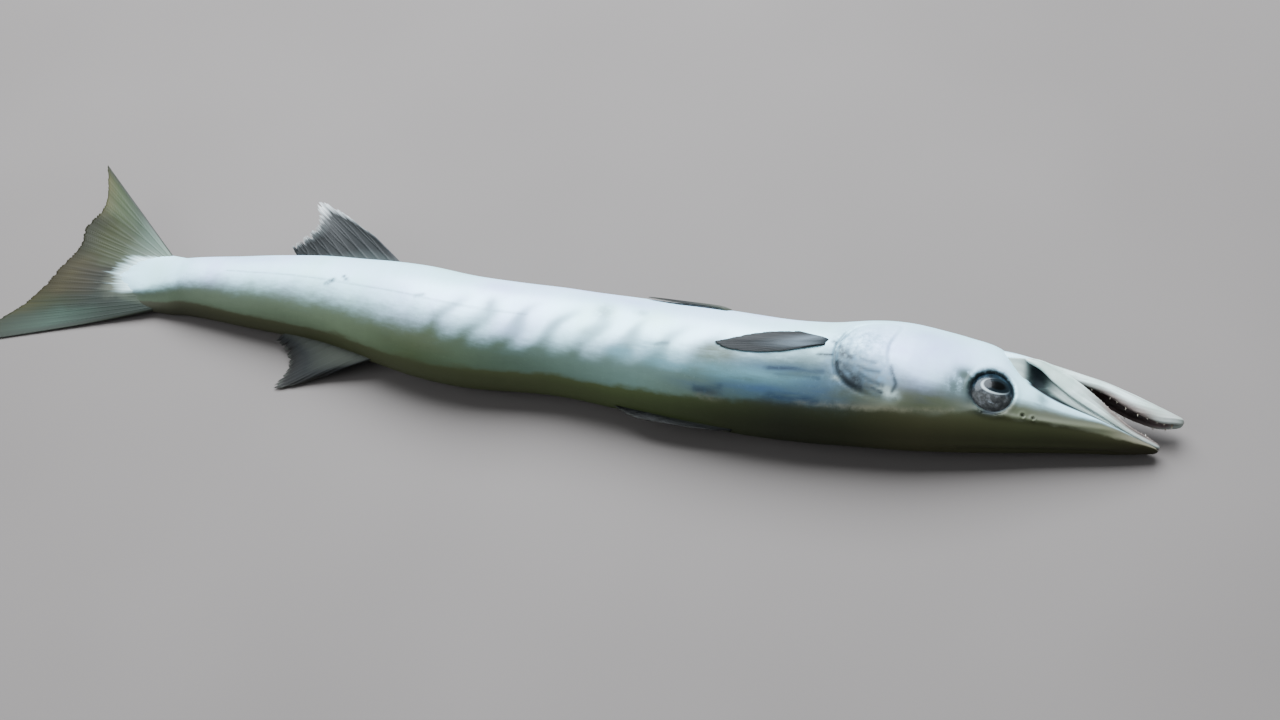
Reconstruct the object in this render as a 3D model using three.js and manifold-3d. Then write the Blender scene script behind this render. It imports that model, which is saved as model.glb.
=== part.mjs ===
// A great barracuda at life size, lying on its right side as it was landed, with its mouth a little open.
// Sizes are in millimetres. Every form is drawn in the fish's own frame and then laid on the ground:
// x runs towards the snout, d towards the back, and l out of the left flank.
import * as THREE from 'three';
import { mergeVertices } from 'three/addons/utils/BufferGeometryUtils.js';
import Module from 'manifold-3d';

const wasm = await Module();
wasm.setup();

// The lie of the fish on the ground
const ROLL = THREE.MathUtils.degToRad(15); // the back lies lower than the belly
const PRESSED = 2; // the right flank is pressed flat by this much
const NECK_X = 250; // in front of the neck the head is straight
const STALK_X = -400; // behind this the tail is held level by the stalk
const JAW_TIP_X = 458;
const JAW_TIP_HEIGHT = 16; // the jaws are held clear of the ground by the cheeks
const LIE = [
  // x, how far the middle line stands off sideways
  [-460, -15],
  [-350, -16],
  [-250, -19],
  [-130, -36],
  [-30, -33],
  [130, -41],
  [250, -31],
  [370, -22],
  [460, -14],
];

// Fineness and clearance
const GAP = 0.3; // between pieces that meet
const SIDES = 24; // points round a ring of the body
const STEP = 17; // from one ring of the body to the next
const HEAD_STEP = 9;
const JAW_SIDES = 14;
const RAY_COLUMNS = 3; // one on each ray and two on the membrane beside it
const COVER_POINTS = 26;
const EYE_SIDES = 18;
const EYE_BANDS = 8;

// The body from the tail's root to the snout. The last column squares the lower half of the ring
const BODY = [
  // x, top, level of the greatest width, bottom, half width, squareness below
  [-460, 9, 0, -9, 2.5, 2],
  [-452, 18, 0, -18, 5.5, 2],
  [-440, 25.5, 0, -25.5, 10, 2],
  [-422, 28, 0, -28, 16, 2],
  [-390, 27, 0, -27, 19, 2],
  [-310, 34, 0, -34, 25.5, 2],
  [-230, 41, 0, -41, 32, 2],
  [-150, 48.5, 0, -47.5, 38.5, 2],
  [-30, 46, 0, -45, 37, 2],
  [90, 49, 0, -49, 39.5, 2],
  [180, 51, 0, -48, 40.5, 2],
  [215, 51.5, 1, -51.5, 40.5, 2],
  [250, 51, 2, -51, 39, 2],
  [290, 46, 4, -46, 33.5, 2.1],
  [316, 42, 5, -39, 29.5, 2.4],
  [330, 40, 7, -20, 27, 3.2],
  [345, 37.5, 9, -8, 24.5, 4.5],
  [363, 35, 11, 0.8, 21.5, 5],
  [392, 31.5, 14.5, 8.5, 16, 5],
  [417, 28.8, 19.5, 16, 11, 4],
  [432, 26.8, 22, 20.4, 7, 3],
  [441, 25.6, 23.9, 23, 3.2, 2],
];
const TAIL_ROOT_X = BODY[0][0];
const SNOUT_TIP_X = BODY[BODY.length - 1][0];
const TOP_SQUARE = 2.1; // the back and the crown are hardly squarer than an ellipse

// Where the body is parted, from head to tail
const SHOULDER_X = 187.5;
const TRUNK_CUTS = [SHOULDER_X, 0, -170, -305];

// The lower jaw, a trough that is longer than the snout
const JAW = [
  // x, margin, bottom, half width
  [304, -30, -40, 15],
  [325, -27, -37.3, 20.5],
  [345, -24, -34, 20.5],
  [357, -22, -32, 19.2],
  [372, -19.5, -29.8, 16.8],
  [395, -14.5, -26, 13.5],
  [417, -4.8, -20, 11],
  [438, 1, -12.5, 8.7],
  [452, 0, -7, 6.4],
  [JAW_TIP_X, -1.4, -4.4, 3.2],
];
const JAW_LIP = 1.5; // the rounded margin
const JAW_WALL = 4.2;
const JAW_FLOOR = 5;
const TROUGH = [310, 445]; // where the mouth's floor is hollow

// The upper jaw, a strap along each side of the snout, joined across the roof of the mouth
const STRAP = [
  // x, top, bottom, half width over both straps
  [333, -25.5, -28, 25.8],
  [345, -20.5, -28, 25.2],
  [357, -11.5, -24.8, 23.6],
  [374, -1.8, -17.2, 20.4],
  [392, 6, -6.2, 17],
  [402, 10, 1, 15],
  [417, 16, 10.8, 12],
  [430, 20, 15.8, 8.6],
  [442, 23, 19.8, 3.4],
];
const STRAP_THICK = 3.4;
const PALATE_REAR_X = 356;
const PALATE_THICK = 3.8;
const PALATE_DROP = 0.8; // under the straps' top edges

// Teeth, each a flattened cone with its root sunk in the jaw. The lower ones stand up, the others hang
const ROOT_SUNK = 1.3;
const TOOTH_FLAT = 0.6; // thickness across the jaw against width along it
const TOOTH_ROWS = {
  // first and last x, count on each side, height from the back to the front, half width, inset from the outside
  lower: { x: [352, 444], count: 11, height: [3.4, 4.6], radius: 1.5, inset: 2.2 },
  rim: { x: [350, 434], count: 11, height: [1.9, 2.3], radius: 1, inset: STRAP_THICK / 2 },
  palate: { x: [374, 412], count: 5, height: [3.6, 6.2], radius: 1.5, inset: 6 },
  fangs: { x: [422, 430], count: 2, height: [7, 6.4], radius: 1.5, inset: 3.2 },
};
const JAW_FANG = { x: 451, l: 1.4, height: 6.5, radius: 1.7 };

// Eyes, nostrils and gill covers
const RIM = { radius: 17, thick: 1.5, sides: 5 }; // the raised skin round the eye's opening
const EYE = { x: 312, d: 6, l: 22.5, radius: 16.7, bulge: 9.5, toe: 0.16, opening: 16 };
const NOSTRILS = [
  // x, d, radius
  [337, 20, 1.8],
  [345, 20.5, 1.4],
];
const COVER_PROUD = 1.2;
const COVER_THICK = 7;
const COVER_EDGE = [
  // x, d, from the crown round the free edge to the throat and back up the cheek
  [243, 26],
  [224, 25],
  [208, 19.5],
  [197, 11],
  [193, -1],
  [193, -14],
  [204, -34],
  [236, -39],
  [231, -14],
  [236, 10],
];

// Fins that stand on the middle line. Root and tip run from the leading edge to the trailing edge
const MEDIAN_FINS = {
  first_dorsal_fin: {
    root: [[120, 46.5], [80, 45], [46, 43]],
    tip: [[117, 51.5], [72, 54.5], [37, 54], [18, 48]],
    rays: 5, rows: 5, thick: 3.2, edge: 1.1, ridge: 0.8, lean: 0, fringe: 2,
  },
  second_dorsal_fin: {
    root: [[-187, 40.5], [-233, 37], [-279, 33.5]],
    tip: [[-236, 67], [-278, 87], [-272, 66], [-280, 50], [-292, 42]],
    rays: 10, rows: 6, thick: 4.5, edge: 0.7, ridge: 0.7, lean: -6, fringe: 2,
  },
  anal_fin: {
    root: [[-184, -41], [-236, -36], [-289, -32]],
    tip: [[-230, -68], [-290, -91], [-284, -70], [-292, -58], [-302, -45]],
    rays: 10, rows: 6, thick: 4.5, edge: 0.7, ridge: 0.7, lean: 3, fringe: 3,
  },
  caudal_fin_lower_lobe: {
    root: [[-414, -24], [-438, -20], [-450, -0.3]],
    tip: [[-513, -111], [-500, -70], [-510, -44], [-508, -26], [-520, -0.3]],
    rays: 9, rows: 7, thick: 5.5, edge: 0.7, ridge: 0.8, lean: 0, fringe: 1.5,
  },
  caudal_fin_upper_lobe: {
    root: [[-410, 24], [-438, 20], [-450, 0.3]],
    tip: [[-584, 94], [-560, 62], [-545, 44], [-530, 22], [-520, 0.3]],
    rays: 9, rows: 7, thick: 5.5, edge: 0.7, ridge: 0.8, lean: 0, fringe: 1.5,
  },
};

// Fins that lie on the body. Angles are measured round the body from the back, out over the flank
const PAIRED_FINS = {
  pectoral_fin_left: {
    side: 1, root: [[186, 116], [183, 104]], tip: [[156, 125], [133, 117], [98, 100], [98, 93], [120, 90], [148, 94]],
    rays: 10, rows: 5, thick: 3, edge: 0.8, ridge: 0.6, lift: 2.4, fringe: 1,
  },
  pectoral_fin_right: {
    side: -1, root: [[186, 119], [183, 107]], tip: [[104, 122], [92, 113], [114, 106], [146, 104]],
    rays: 10, rows: 5, thick: 2.4, edge: 0.8, ridge: 0.6, lift: 1.8, fringe: 1,
  },
  pelvic_fin_left: {
    side: 1, root: [[103, 159], [98, 149]], tip: [[34, 158], [30, 153], [42, 148], [58, 145]],
    rays: 6, rows: 5, thick: 2.6, edge: 0.8, ridge: 0.6, lift: 2, fringe: 1,
  },
  pelvic_fin_right: {
    side: -1, root: [[103, 159], [98, 149]], tip: [[34, 158], [30, 153], [42, 148], [58, 145]],
    rays: 6, rows: 5, thick: 2.6, edge: 0.8, ridge: 0.6, lift: 2, fringe: 1,
  },
};
const FIN_CLEAR = 1; // the least height of a fin's middle sheet over the ground
const FIN_SETTLE = 4; // how softly a fin bends as it meets the ground

const FINISHES = {
  back: { color: 0x55603a, roughness: 0.4 },
  flank: { color: 0xb9c6bd, roughness: 0.32 },
  jaw: { color: 0xc9cfc4, roughness: 0.38 },
  cover: { color: 0xa9bcc0, roughness: 0.3 },
  fin: { color: 0x3d4238, roughness: 0.55 },
  tail: { color: 0x6d6f38, roughness: 0.5 },
  eye: { color: 0x1c2226, roughness: 0.08 },
};

// A smooth curve through the rows of a table, read at x for all its columns
function along(rows, x) {
  let i = 1;
  while (i < rows.length - 1 && rows[i][0] < x) i += 1;
  const [p, q] = [rows[i - 1], rows[i]];
  const before = rows[Math.max(i - 2, 0)];
  const after = rows[Math.min(i + 1, rows.length - 1)];
  const span = q[0] - p[0];
  const t = THREE.MathUtils.clamp((x - p[0]) / span, 0, 1);
  return q.map((_, k) => {
    const rise = ((q[k] - before[k]) / (q[0] - before[0])) * span;
    const fall = ((after[k] - p[k]) / (after[0] - p[0])) * span;
    const t2 = t * t;
    const t3 = t2 * t;
    return (2 * t3 - 3 * t2 + 1) * p[k] + (t3 - 2 * t2 + t) * rise
      + (3 * t2 - 2 * t3) * q[k] + (t3 - t2) * fall;
  });
}

// The body's middle line over the ground: the flank touches it up to the neck, and the head is straight
function middleHeight(x) {
  const [, top, , , half] = along(BODY, THREE.MathUtils.clamp(x, STALK_X, NECK_X));
  const touching = Math.hypot(top * Math.sin(ROLL), half * Math.cos(ROLL)) - PRESSED;
  const forward = Math.max(x - NECK_X, 0) / (JAW_TIP_X - NECK_X);
  return THREE.MathUtils.lerp(touching, JAW_TIP_HEIGHT, forward);
}

// Lays a point of the fish's own frame on the ground
function lay(x, d, l) {
  const [, aside] = along(LIE, x);
  return new THREE.Vector3(
    x,
    aside - d * Math.cos(ROLL) - l * Math.sin(ROLL),
    middleHeight(x) - d * Math.sin(ROLL) + l * Math.cos(ROLL),
  );
}

// A closed form through rings of points that all have the same number
function loft(rings) {
  const sides = rings[0].length;
  const points = rings.flat();
  const faces = [];
  for (let i = 0; i < rings.length - 1; i += 1) {
    for (let k = 0; k < sides; k += 1) {
      const a = i * sides + k;
      const b = i * sides + ((k + 1) % sides);
      faces.push(a, b, a + sides, b, b + sides, a + sides);
    }
  }
  for (const [end, flip] of [[0, true], [rings.length - 1, false]]) {
    const hub = points.length;
    points.push(rings[end].reduce((sum, p) => sum.add(p), new THREE.Vector3()).divideScalar(sides));
    for (let k = 0; k < sides; k += 1) {
      const a = end * sides + k;
      const b = end * sides + ((k + 1) % sides);
      faces.push(...(flip ? [hub, b, a] : [hub, a, b]));
    }
  }
  const geometry = new THREE.BufferGeometry().setFromPoints(points);
  geometry.setIndex(faces);
  return geometry;
}

// A closed mesh as a solid, with its faces turned outwards
function solid(geometry) {
  const bare = geometry.clone();
  bare.deleteAttribute('normal');
  bare.deleteAttribute('uv');
  const merged = mergeVertices(bare, 1e-4);
  const position = merged.attributes.position;
  const faces = Uint32Array.from(merged.index.array);
  let volume = 0;
  const [a, b, c] = [new THREE.Vector3(), new THREE.Vector3(), new THREE.Vector3()];
  for (let i = 0; i < faces.length; i += 3) {
    a.fromBufferAttribute(position, faces[i]);
    b.fromBufferAttribute(position, faces[i + 1]);
    c.fromBufferAttribute(position, faces[i + 2]);
    volume += a.dot(b.cross(c));
  }
  if (volume < 0) {
    for (let i = 0; i < faces.length; i += 3) [faces[i], faces[i + 1]] = [faces[i + 1], faces[i]];
  }
  return new wasm.Manifold(new wasm.Mesh({
    numProp: 3,
    vertProperties: Float32Array.from(position.array),
    triVerts: faces,
  }));
}

// The largest closed piece of a solid, as a named mesh
function node(name, shape, finish) {
  const pieces = shape.decompose().sort((p, q) => q.volume() - p.volume());
  const mesh = pieces[0].getMesh();
  const geometry = new THREE.BufferGeometry();
  geometry.setAttribute('position', new THREE.BufferAttribute(Float32Array.from(mesh.vertProperties), 3));
  geometry.setIndex(Array.from(mesh.triVerts));
  geometry.computeVertexNormals();
  const made = new THREE.Mesh(geometry, new THREE.MeshStandardMaterial({ metalness: 0, ...FINISHES[finish] }));
  made.name = name;
  return made;
}

// One ring across the fish: an oval with its own level of greatest width and squareness above and below
function ring(x, { top, wide, bottom, half, above = 2, below = 2, middle = 0 }, sides = SIDES) {
  const points = [];
  for (let k = 0; k < sides; k += 1) {
    const angle = (2 * Math.PI * k) / sides;
    const [up, out] = [Math.cos(angle), Math.sin(angle)];
    const power = 2 / (up > 0 ? above : below);
    const height = up > 0 ? top - wide : wide - bottom;
    const d = wide + height * Math.sign(up) * Math.abs(up) ** power;
    const l = middle + half * Math.sign(out) * Math.abs(out) ** power;
    points.push(lay(x, d, l));
  }
  return points;
}

// Stations from one x to another, none further apart than the step
function stations(from, to, step) {
  const count = Math.ceil(Math.abs(to - from) / step);
  return Array.from({ length: count + 1 }, (_, i) => THREE.MathUtils.lerp(from, to, i / count));
}

// The whole body without its lower jaw, grown or shrunk all round
function bodyForm(grow = 0) {
  const trunk = stations(TAIL_ROOT_X, NECK_X, STEP);
  const head = stations(NECK_X, SNOUT_TIP_X, HEAD_STEP).slice(1);
  return solid(loft([...trunk, ...head].map((x) => {
    const [, top, wide, bottom, half, below] = along(BODY, x);
    const ends = x === TAIL_ROOT_X ? -grow : x === SNOUT_TIP_X ? grow : 0;
    return ring(x + ends, {
      top: top + grow, wide, bottom: bottom - grow, half: half + grow, above: TOP_SQUARE, below,
    });
  })));
}

// How far the body's surface stands out from its middle at a point of its side
function cheekAt(x, d) {
  const [, top, wide, bottom, half, below] = along(BODY, x);
  const square = d > wide ? TOP_SQUARE : below;
  const up = Math.abs(d - wide) / (d > wide ? top - wide : wide - bottom);
  return half * (1 - Math.min(up, 1) ** square) ** (1 / square);
}

// A block across the whole fish from one x to another
function slab(from, to) {
  const [across, high] = [600, 400];
  const block = new THREE.BoxGeometry(Math.abs(to - from), across, high);
  block.translate((from + to) / 2, 0, 0);
  return solid(block);
}

// What lies under the ground plane
function ground() {
  const block = new THREE.BoxGeometry(1400, 600, 100);
  block.translate(0, 0, -50);
  return solid(block);
}

// The outline of a gill cover, grown all round and driven through the flank from one depth to another
function coverPrism(side, grow) {
  const outline = new THREE.CatmullRomCurve3(COVER_EDGE.map(([x, d]) => new THREE.Vector3(x, d, 0)), true);
  const points = outline.getPoints(COVER_POINTS).slice(0, -1);
  const centre = points.reduce((sum, p) => sum.add(p), new THREE.Vector3()).divideScalar(points.length);
  const [inner, outer] = [14, 60];
  return solid(loft([inner, outer].map((l) => points.map((p) => {
    const out = p.clone().sub(centre);
    out.setLength(out.length() + grow);
    return lay(centre.x + out.x, centre.y + out.y, side * l);
  }))));
}

// Sets a round form with its axis along y in the side of the head, turned a little forward as the eye is
function inCheek(geometry, side, radius, height) {
  const position = geometry.attributes.position;
  for (let i = 0; i < position.count; i += 1) {
    const along = position.getX(i) * radius;
    const out = EYE.l + position.getY(i) * height - along * EYE.toe;
    position.setXYZ(i, ...lay(EYE.x + along, EYE.d + position.getZ(i) * radius, side * out));
  }
  return solid(geometry);
}

// The eyeball, flattened as it sits in the head
function eyeball(side, grow) {
  return inCheek(new THREE.SphereGeometry(1, EYE_SIDES, EYE_BANDS), side, EYE.radius + grow, EYE.bulge + grow);
}

// The raised rim of skin round the eye, which follows the cheek
function eyeRim(side) {
  const rim = new THREE.TorusGeometry(RIM.radius, RIM.thick, RIM.sides, EYE_SIDES);
  const position = rim.attributes.position;
  for (let i = 0; i < position.count; i += 1) {
    const [x, d] = [EYE.x + position.getX(i), EYE.d + position.getY(i)];
    const out = cheekAt(x, d) - RIM.thick / 2 + position.getZ(i);
    position.setXYZ(i, ...lay(x, d, side * out));
  }
  return solid(rim);
}

// The bed of the eyeball with its round opening in the cheek
function socket(side) {
  const opening = new THREE.CylinderGeometry(1, 1, 2, EYE_SIDES);
  opening.translate(0, 1, 0);
  return eyeball(side, GAP).add(inCheek(opening, side, EYE.opening, EYE.bulge));
}

// A round pit in the side of the snout
function nostril(side, [x, d, radius]) {
  const pit = new THREE.IcosahedronGeometry(radius, 0);
  const at = lay(x, d, side * cheekAt(x, d));
  pit.translate(at.x, at.y, at.z);
  return solid(pit);
}

// The lower jaw with its hollow floor
function jawForm() {
  const outer = stations(JAW[0][0], JAW_TIP_X, HEAD_STEP).map((x) => {
    const [, margin, bottom, half] = along(JAW, x);
    return ring(x, { top: margin + JAW_LIP, wide: margin - JAW_LIP, bottom, half, above: 3, below: 2.2 }, JAW_SIDES);
  });
  const inner = stations(...TROUGH, HEAD_STEP).map((x) => {
    const [, margin, bottom, half] = along(JAW, x);
    const narrow = half - JAW_WALL;
    return ring(x, { top: margin + 25, wide: margin, bottom: bottom + JAW_FLOOR, half: narrow, above: 4 }, JAW_SIDES);
  });
  return solid(loft(outer)).subtract(solid(loft(inner)));
}

// One strap of the upper jaw
function strapForm(side) {
  return solid(loft(stations(STRAP[0][0], STRAP[STRAP.length - 1][0], HEAD_STEP).map((x) => {
    const [, top, bottom, half] = along(STRAP, x);
    const size = { top, bottom, wide: (top + bottom) / 2, half: STRAP_THICK / 2, above: 3, below: 3 };
    return ring(x, { ...size, middle: side * (half - STRAP_THICK / 2) }, 12);
  })));
}

// The roof of the mouth between the straps
function palateForm() {
  return solid(loft(stations(PALATE_REAR_X, STRAP[STRAP.length - 1][0] - 1, HEAD_STEP).map((x) => {
    const [, top, , half] = along(STRAP, x);
    const ceiling = top - PALATE_DROP;
    const size = { top: ceiling, bottom: ceiling - PALATE_THICK, wide: ceiling - PALATE_THICK / 2 };
    return ring(x, { ...size, half: half - STRAP_THICK / 2, above: 5, below: 5 }, JAW_SIDES);
  })));
}

// Numbers between 0 and 1 that are the same on every run
function seeded(seed) {
  let state = seed;
  return () => {
    state = (state * 16807) % 2147483647;
    return state / 2147483647;
  };
}

// A tooth that stands up from a jaw, or hangs from it where the height is negative
function tooth(x, level, l, height, radius) {
  const cone = new THREE.ConeGeometry(radius, Math.abs(height) + ROOT_SUNK, 5);
  cone.translate(0, (Math.abs(height) - ROOT_SUNK) / 2, 0);
  const position = cone.attributes.position;
  for (let i = 0; i < position.count; i += 1) {
    const d = level + position.getY(i) * Math.sign(height);
    position.setXYZ(i, ...lay(x + position.getX(i), d, l + position.getZ(i) * TOOTH_FLAT));
  }
  return solid(cone);
}

// A row of teeth along both sides of a jaw, at the level and half width that the jaw has at each x
function toothRow(row, down, levelAt, halfAt, seed) {
  const chance = seeded(seed);
  const teeth = [];
  for (const side of [1, -1]) {
    for (let i = 0; i < row.count; i += 1) {
      const t = i / (row.count - 1);
      const x = THREE.MathUtils.lerp(...row.x, t) + chance() - 0.5;
      const height = THREE.MathUtils.lerp(...row.height, t) * (0.85 + 0.3 * chance());
      teeth.push(tooth(x, levelAt(x), side * (halfAt(x) - row.inset), down ? -height : height, row.radius));
    }
  }
  return teeth;
}

// A thin sheet with a front and a back face that are split into triangles alike
function sheet(place, across, thick, columns, rows) {
  const points = [];
  for (const face of [1, -1]) {
    for (let j = 0; j <= rows; j += 1) {
      for (let i = 0; i <= columns; i += 1) {
        const [t, s] = [i / columns, j / rows];
        points.push(place(t, s).addScaledVector(across(t, s), (face * thick(t, s)) / 2));
      }
    }
  }
  const wide = columns + 1;
  const behind = wide * (rows + 1);
  const faces = [];
  const quad = (a, b, c, d) => faces.push(a, b, c, a, c, d);
  for (let j = 0; j < rows; j += 1) {
    for (let i = 0; i < columns; i += 1) {
      const [a, b, c, d] = [j * wide + i, j * wide + i + 1, (j + 1) * wide + i + 1, (j + 1) * wide + i];
      quad(a, b, c, d);
      faces.push(behind + a, behind + c, behind + b, behind + a, behind + d, behind + c);
    }
  }
  for (let i = 0; i < columns; i += 1) {
    const last = rows * wide + i;
    quad(i, behind + i, behind + i + 1, i + 1);
    quad(last, last + 1, behind + last + 1, behind + last);
  }
  for (let j = 0; j < rows; j += 1) {
    const [first, next] = [j * wide, (j + 1) * wide];
    quad(first, next, behind + next, behind + first);
    quad(first + columns, behind + first + columns, behind + next + columns, next + columns);
  }
  const geometry = new THREE.BufferGeometry().setFromPoints(points);
  geometry.setIndex(faces);
  return geometry;
}

// Keeps a point of a fin over the ground, bending it gently to lie along it
function settle(point) {
  const over = point.z - FIN_CLEAR;
  point.z = FIN_CLEAR + (over + Math.hypot(over, FIN_SETTLE)) / 2;
  return point;
}

// 1 on a ray of the fin and 0 on the membrane between two
function onRay(fin, t) {
  return Math.max(0, Math.cos(2 * Math.PI * t * (fin.rays - 1)));
}

// Thickness of a fin: thick at the root, thin at the tip, with a ridge along each ray
function finThickness(fin) {
  return (t, s) => {
    const skin = fin.edge + (fin.thick - fin.edge) * (1 - s) ** 2.5;
    return skin + fin.ridge * onRay(fin, t) * (1 - 0.5 * s);
  };
}

// Where a fin's point lies between its root and its tip. The rays' ends stand out of the membrane
function finPoint(fin, t, s) {
  const rail = (points) => new THREE.CatmullRomCurve3(points.map(([x, y]) => new THREE.Vector3(x, y, 0)));
  const [root, tip] = [rail(fin.root).getPoint(t), rail(fin.tip).getPoint(t)];
  const frayed = 1 + (s * fin.fringe * (onRay(fin, t) - 1)) / root.distanceTo(tip);
  return root.lerp(tip, s * frayed);
}

const outOfFlank = new THREE.Vector3(0, -Math.sin(ROLL), Math.cos(ROLL));

// A fin on the middle line, cut off clear of the body
function medianFin(fin, body) {
  const place = (t, s) => {
    const p = finPoint(fin, t, s);
    return settle(lay(p.x, p.y, fin.lean * s * s));
  };
  const form = sheet(place, () => outOfFlank, finThickness(fin), (fin.rays - 1) * RAY_COLUMNS, fin.rows);
  return solid(form).subtract(body);
}

// A point over the body at an angle round it from the back, and the way out of the body there
function overBody(x, angle, side, lift) {
  const [, top, wide, bottom, half] = along(BODY, x);
  const turn = THREE.MathUtils.degToRad(angle);
  const tall = turn < Math.PI / 2 ? top - wide : wide - bottom;
  const out = new THREE.Vector2(Math.cos(turn) / tall, Math.sin(turn) / half).normalize();
  const d = wide + tall * Math.cos(turn) + lift * out.x;
  const l = half * Math.sin(turn) + lift * out.y;
  return { point: lay(x, d, side * l), out };
}

// A fin folded back along the body, cut off clear of it
function pairedFin(fin, body) {
  const rise = (s) => fin.lift * (1 - Math.exp(-s * 14)) * 2 - fin.lift;
  const at = (t, s) => {
    const p = finPoint(fin, t, s);
    return overBody(p.x, p.y, fin.side, rise(s));
  };
  const out = (t, s) => {
    const way = at(t, s).out;
    return lay(0, way.x, fin.side * way.y).sub(lay(0, 0, 0)).normalize();
  };
  const columns = (fin.rays - 1) * RAY_COLUMNS;
  return solid(sheet((t, s) => at(t, s).point, out, finThickness(fin), columns, fin.rows)).subtract(body);
}

// The upper jaw with its rim teeth, its palate teeth and the fangs in front
function upperJaw(body) {
  const halfAt = (x) => along(STRAP, x)[3];
  const rimAt = (x) => along(STRAP, x)[2];
  const palateAt = (x) => along(STRAP, x)[1] - PALATE_DROP - PALATE_THICK;
  const bone = strapForm(1).add(strapForm(-1)).add(palateForm()).subtract(body);
  return [
    ...toothRow(TOOTH_ROWS.rim, true, rimAt, halfAt, 11),
    ...toothRow(TOOTH_ROWS.palate, true, palateAt, halfAt, 12),
    ...toothRow(TOOTH_ROWS.fangs, true, palateAt, halfAt, 13),
  ].reduce((jaw, each) => jaw.add(each), bone);
}

// The lower jaw with its two rows of teeth and the one fang at its tip
function lowerJaw(body) {
  const halfAt = (x) => along(JAW, x)[3];
  const lipAt = (x) => along(JAW, x)[1] + JAW_LIP;
  const fang = tooth(JAW_FANG.x, lipAt(JAW_FANG.x), JAW_FANG.l, JAW_FANG.height, JAW_FANG.radius);
  return [...toothRow(TOOTH_ROWS.lower, false, lipAt, halfAt, 14), fang]
    .reduce((jaw, each) => jaw.add(each), jawForm().subtract(body));
}

function build() {
  const fish = new THREE.Group();
  const floor = ground();
  const whole = bodyForm();
  const clear = bodyForm(GAP);

  // The head, with its sockets, nostrils and the beds of the gill covers
  let head = whole.intersect(slab(SHOULDER_X + GAP / 2, 500)).add(eyeRim(1)).add(eyeRim(-1)).subtract(floor);
  const shell = bodyForm(COVER_PROUD).subtract(bodyForm(COVER_PROUD - COVER_THICK));
  const bed = bodyForm(COVER_PROUD + 2).subtract(bodyForm(COVER_PROUD - COVER_THICK - GAP));
  for (const [side, hand] of [[1, 'left'], [-1, 'right']]) {
    head = head.subtract(socket(side)).subtract(bed.intersect(coverPrism(side, GAP)));
    for (const hole of NOSTRILS) head = head.subtract(nostril(side, hole));
    const cover = shell.intersect(coverPrism(side, 0)).subtract(floor);
    fish.add(node(`gill_cover_${hand}`, cover, 'cover'));
    fish.add(node(`eye_${hand}`, eyeball(side, 0).subtract(floor), 'eye'));
  }
  fish.add(node('head', head, 'back'));

  fish.add(node('upper_jaw', upperJaw(clear), 'jaw'));
  fish.add(node('lower_jaw', lowerJaw(clear), 'jaw'));

  // The trunk and tail stalk
  const lengths = ['trunk_front', 'trunk_middle', 'trunk_rear', 'tail_stalk'];
  lengths.forEach((name, i) => {
    const front = TRUNK_CUTS[i] - GAP / 2;
    const rear = i + 1 < TRUNK_CUTS.length ? TRUNK_CUTS[i + 1] + GAP / 2 : TAIL_ROOT_X - 10;
    fish.add(node(name, whole.intersect(slab(rear, front)).subtract(floor), 'flank'));
  });

  for (const [name, fin] of Object.entries(MEDIAN_FINS)) {
    fish.add(node(name, medianFin(fin, clear), name.startsWith('caudal') ? 'tail' : 'fin'));
  }
  for (const [name, fin] of Object.entries(PAIRED_FINS)) {
    fish.add(node(name, pairedFin(fin, clear).subtract(floor), 'fin'));
  }

  // The origin is on the ground under the middle of the fish
  const box = new THREE.Box3().setFromObject(fish);
  const middle = box.getCenter(new THREE.Vector3());
  fish.position.set(-middle.x, -middle.y, -box.min.z);
  return fish;
}

export default build();
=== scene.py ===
# A great barracuda at life size, lying on its right side with its mouth a little open.
# Every form is drawn in the fish's own frame in millimetres: x towards the snout, l out of the left flank
# and d towards the back. It is then laid on the ground, in metres.
import math

import bpy
import numpy as np
from mathutils import Matrix, Vector


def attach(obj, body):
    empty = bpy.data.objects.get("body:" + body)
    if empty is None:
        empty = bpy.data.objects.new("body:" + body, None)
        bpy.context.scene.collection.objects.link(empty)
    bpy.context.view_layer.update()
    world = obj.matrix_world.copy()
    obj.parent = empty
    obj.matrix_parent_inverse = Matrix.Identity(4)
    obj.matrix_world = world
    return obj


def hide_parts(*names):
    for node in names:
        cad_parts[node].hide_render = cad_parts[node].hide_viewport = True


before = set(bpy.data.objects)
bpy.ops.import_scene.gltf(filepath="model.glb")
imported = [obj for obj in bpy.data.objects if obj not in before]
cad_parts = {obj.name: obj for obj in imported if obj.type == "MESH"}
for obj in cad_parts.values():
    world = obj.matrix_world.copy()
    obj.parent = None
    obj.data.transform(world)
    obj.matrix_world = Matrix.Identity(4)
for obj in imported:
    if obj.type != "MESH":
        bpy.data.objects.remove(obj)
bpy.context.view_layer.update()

MM = 0.001
ORIGIN = (-63.0, -6.79)  # the row's origin in the fish's own frame

# The lie of the fish on the ground
ROLL = math.radians(15)  # the back lies lower than the belly
PRESSED = 2.0  # the right flank is pressed flat by this much
NECK_X = 250  # in front of the neck the head is straight
STALK_X = -400  # behind this the tail is held level by the stalk
JAW_TIP_X = 458
JAW_TIP_HEIGHT = 16  # the jaws are held clear of the ground by the cheeks
GROUND_SOFT = 0.5  # how softly the flesh spreads where it meets the ground
LIE = [
    # x, how far the middle line stands off sideways
    [-460, -15], [-350, -16], [-250, -19], [-130, -36], [-30, -33],
    [130, -41], [250, -31], [370, -22], [460, -14],
]

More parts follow.
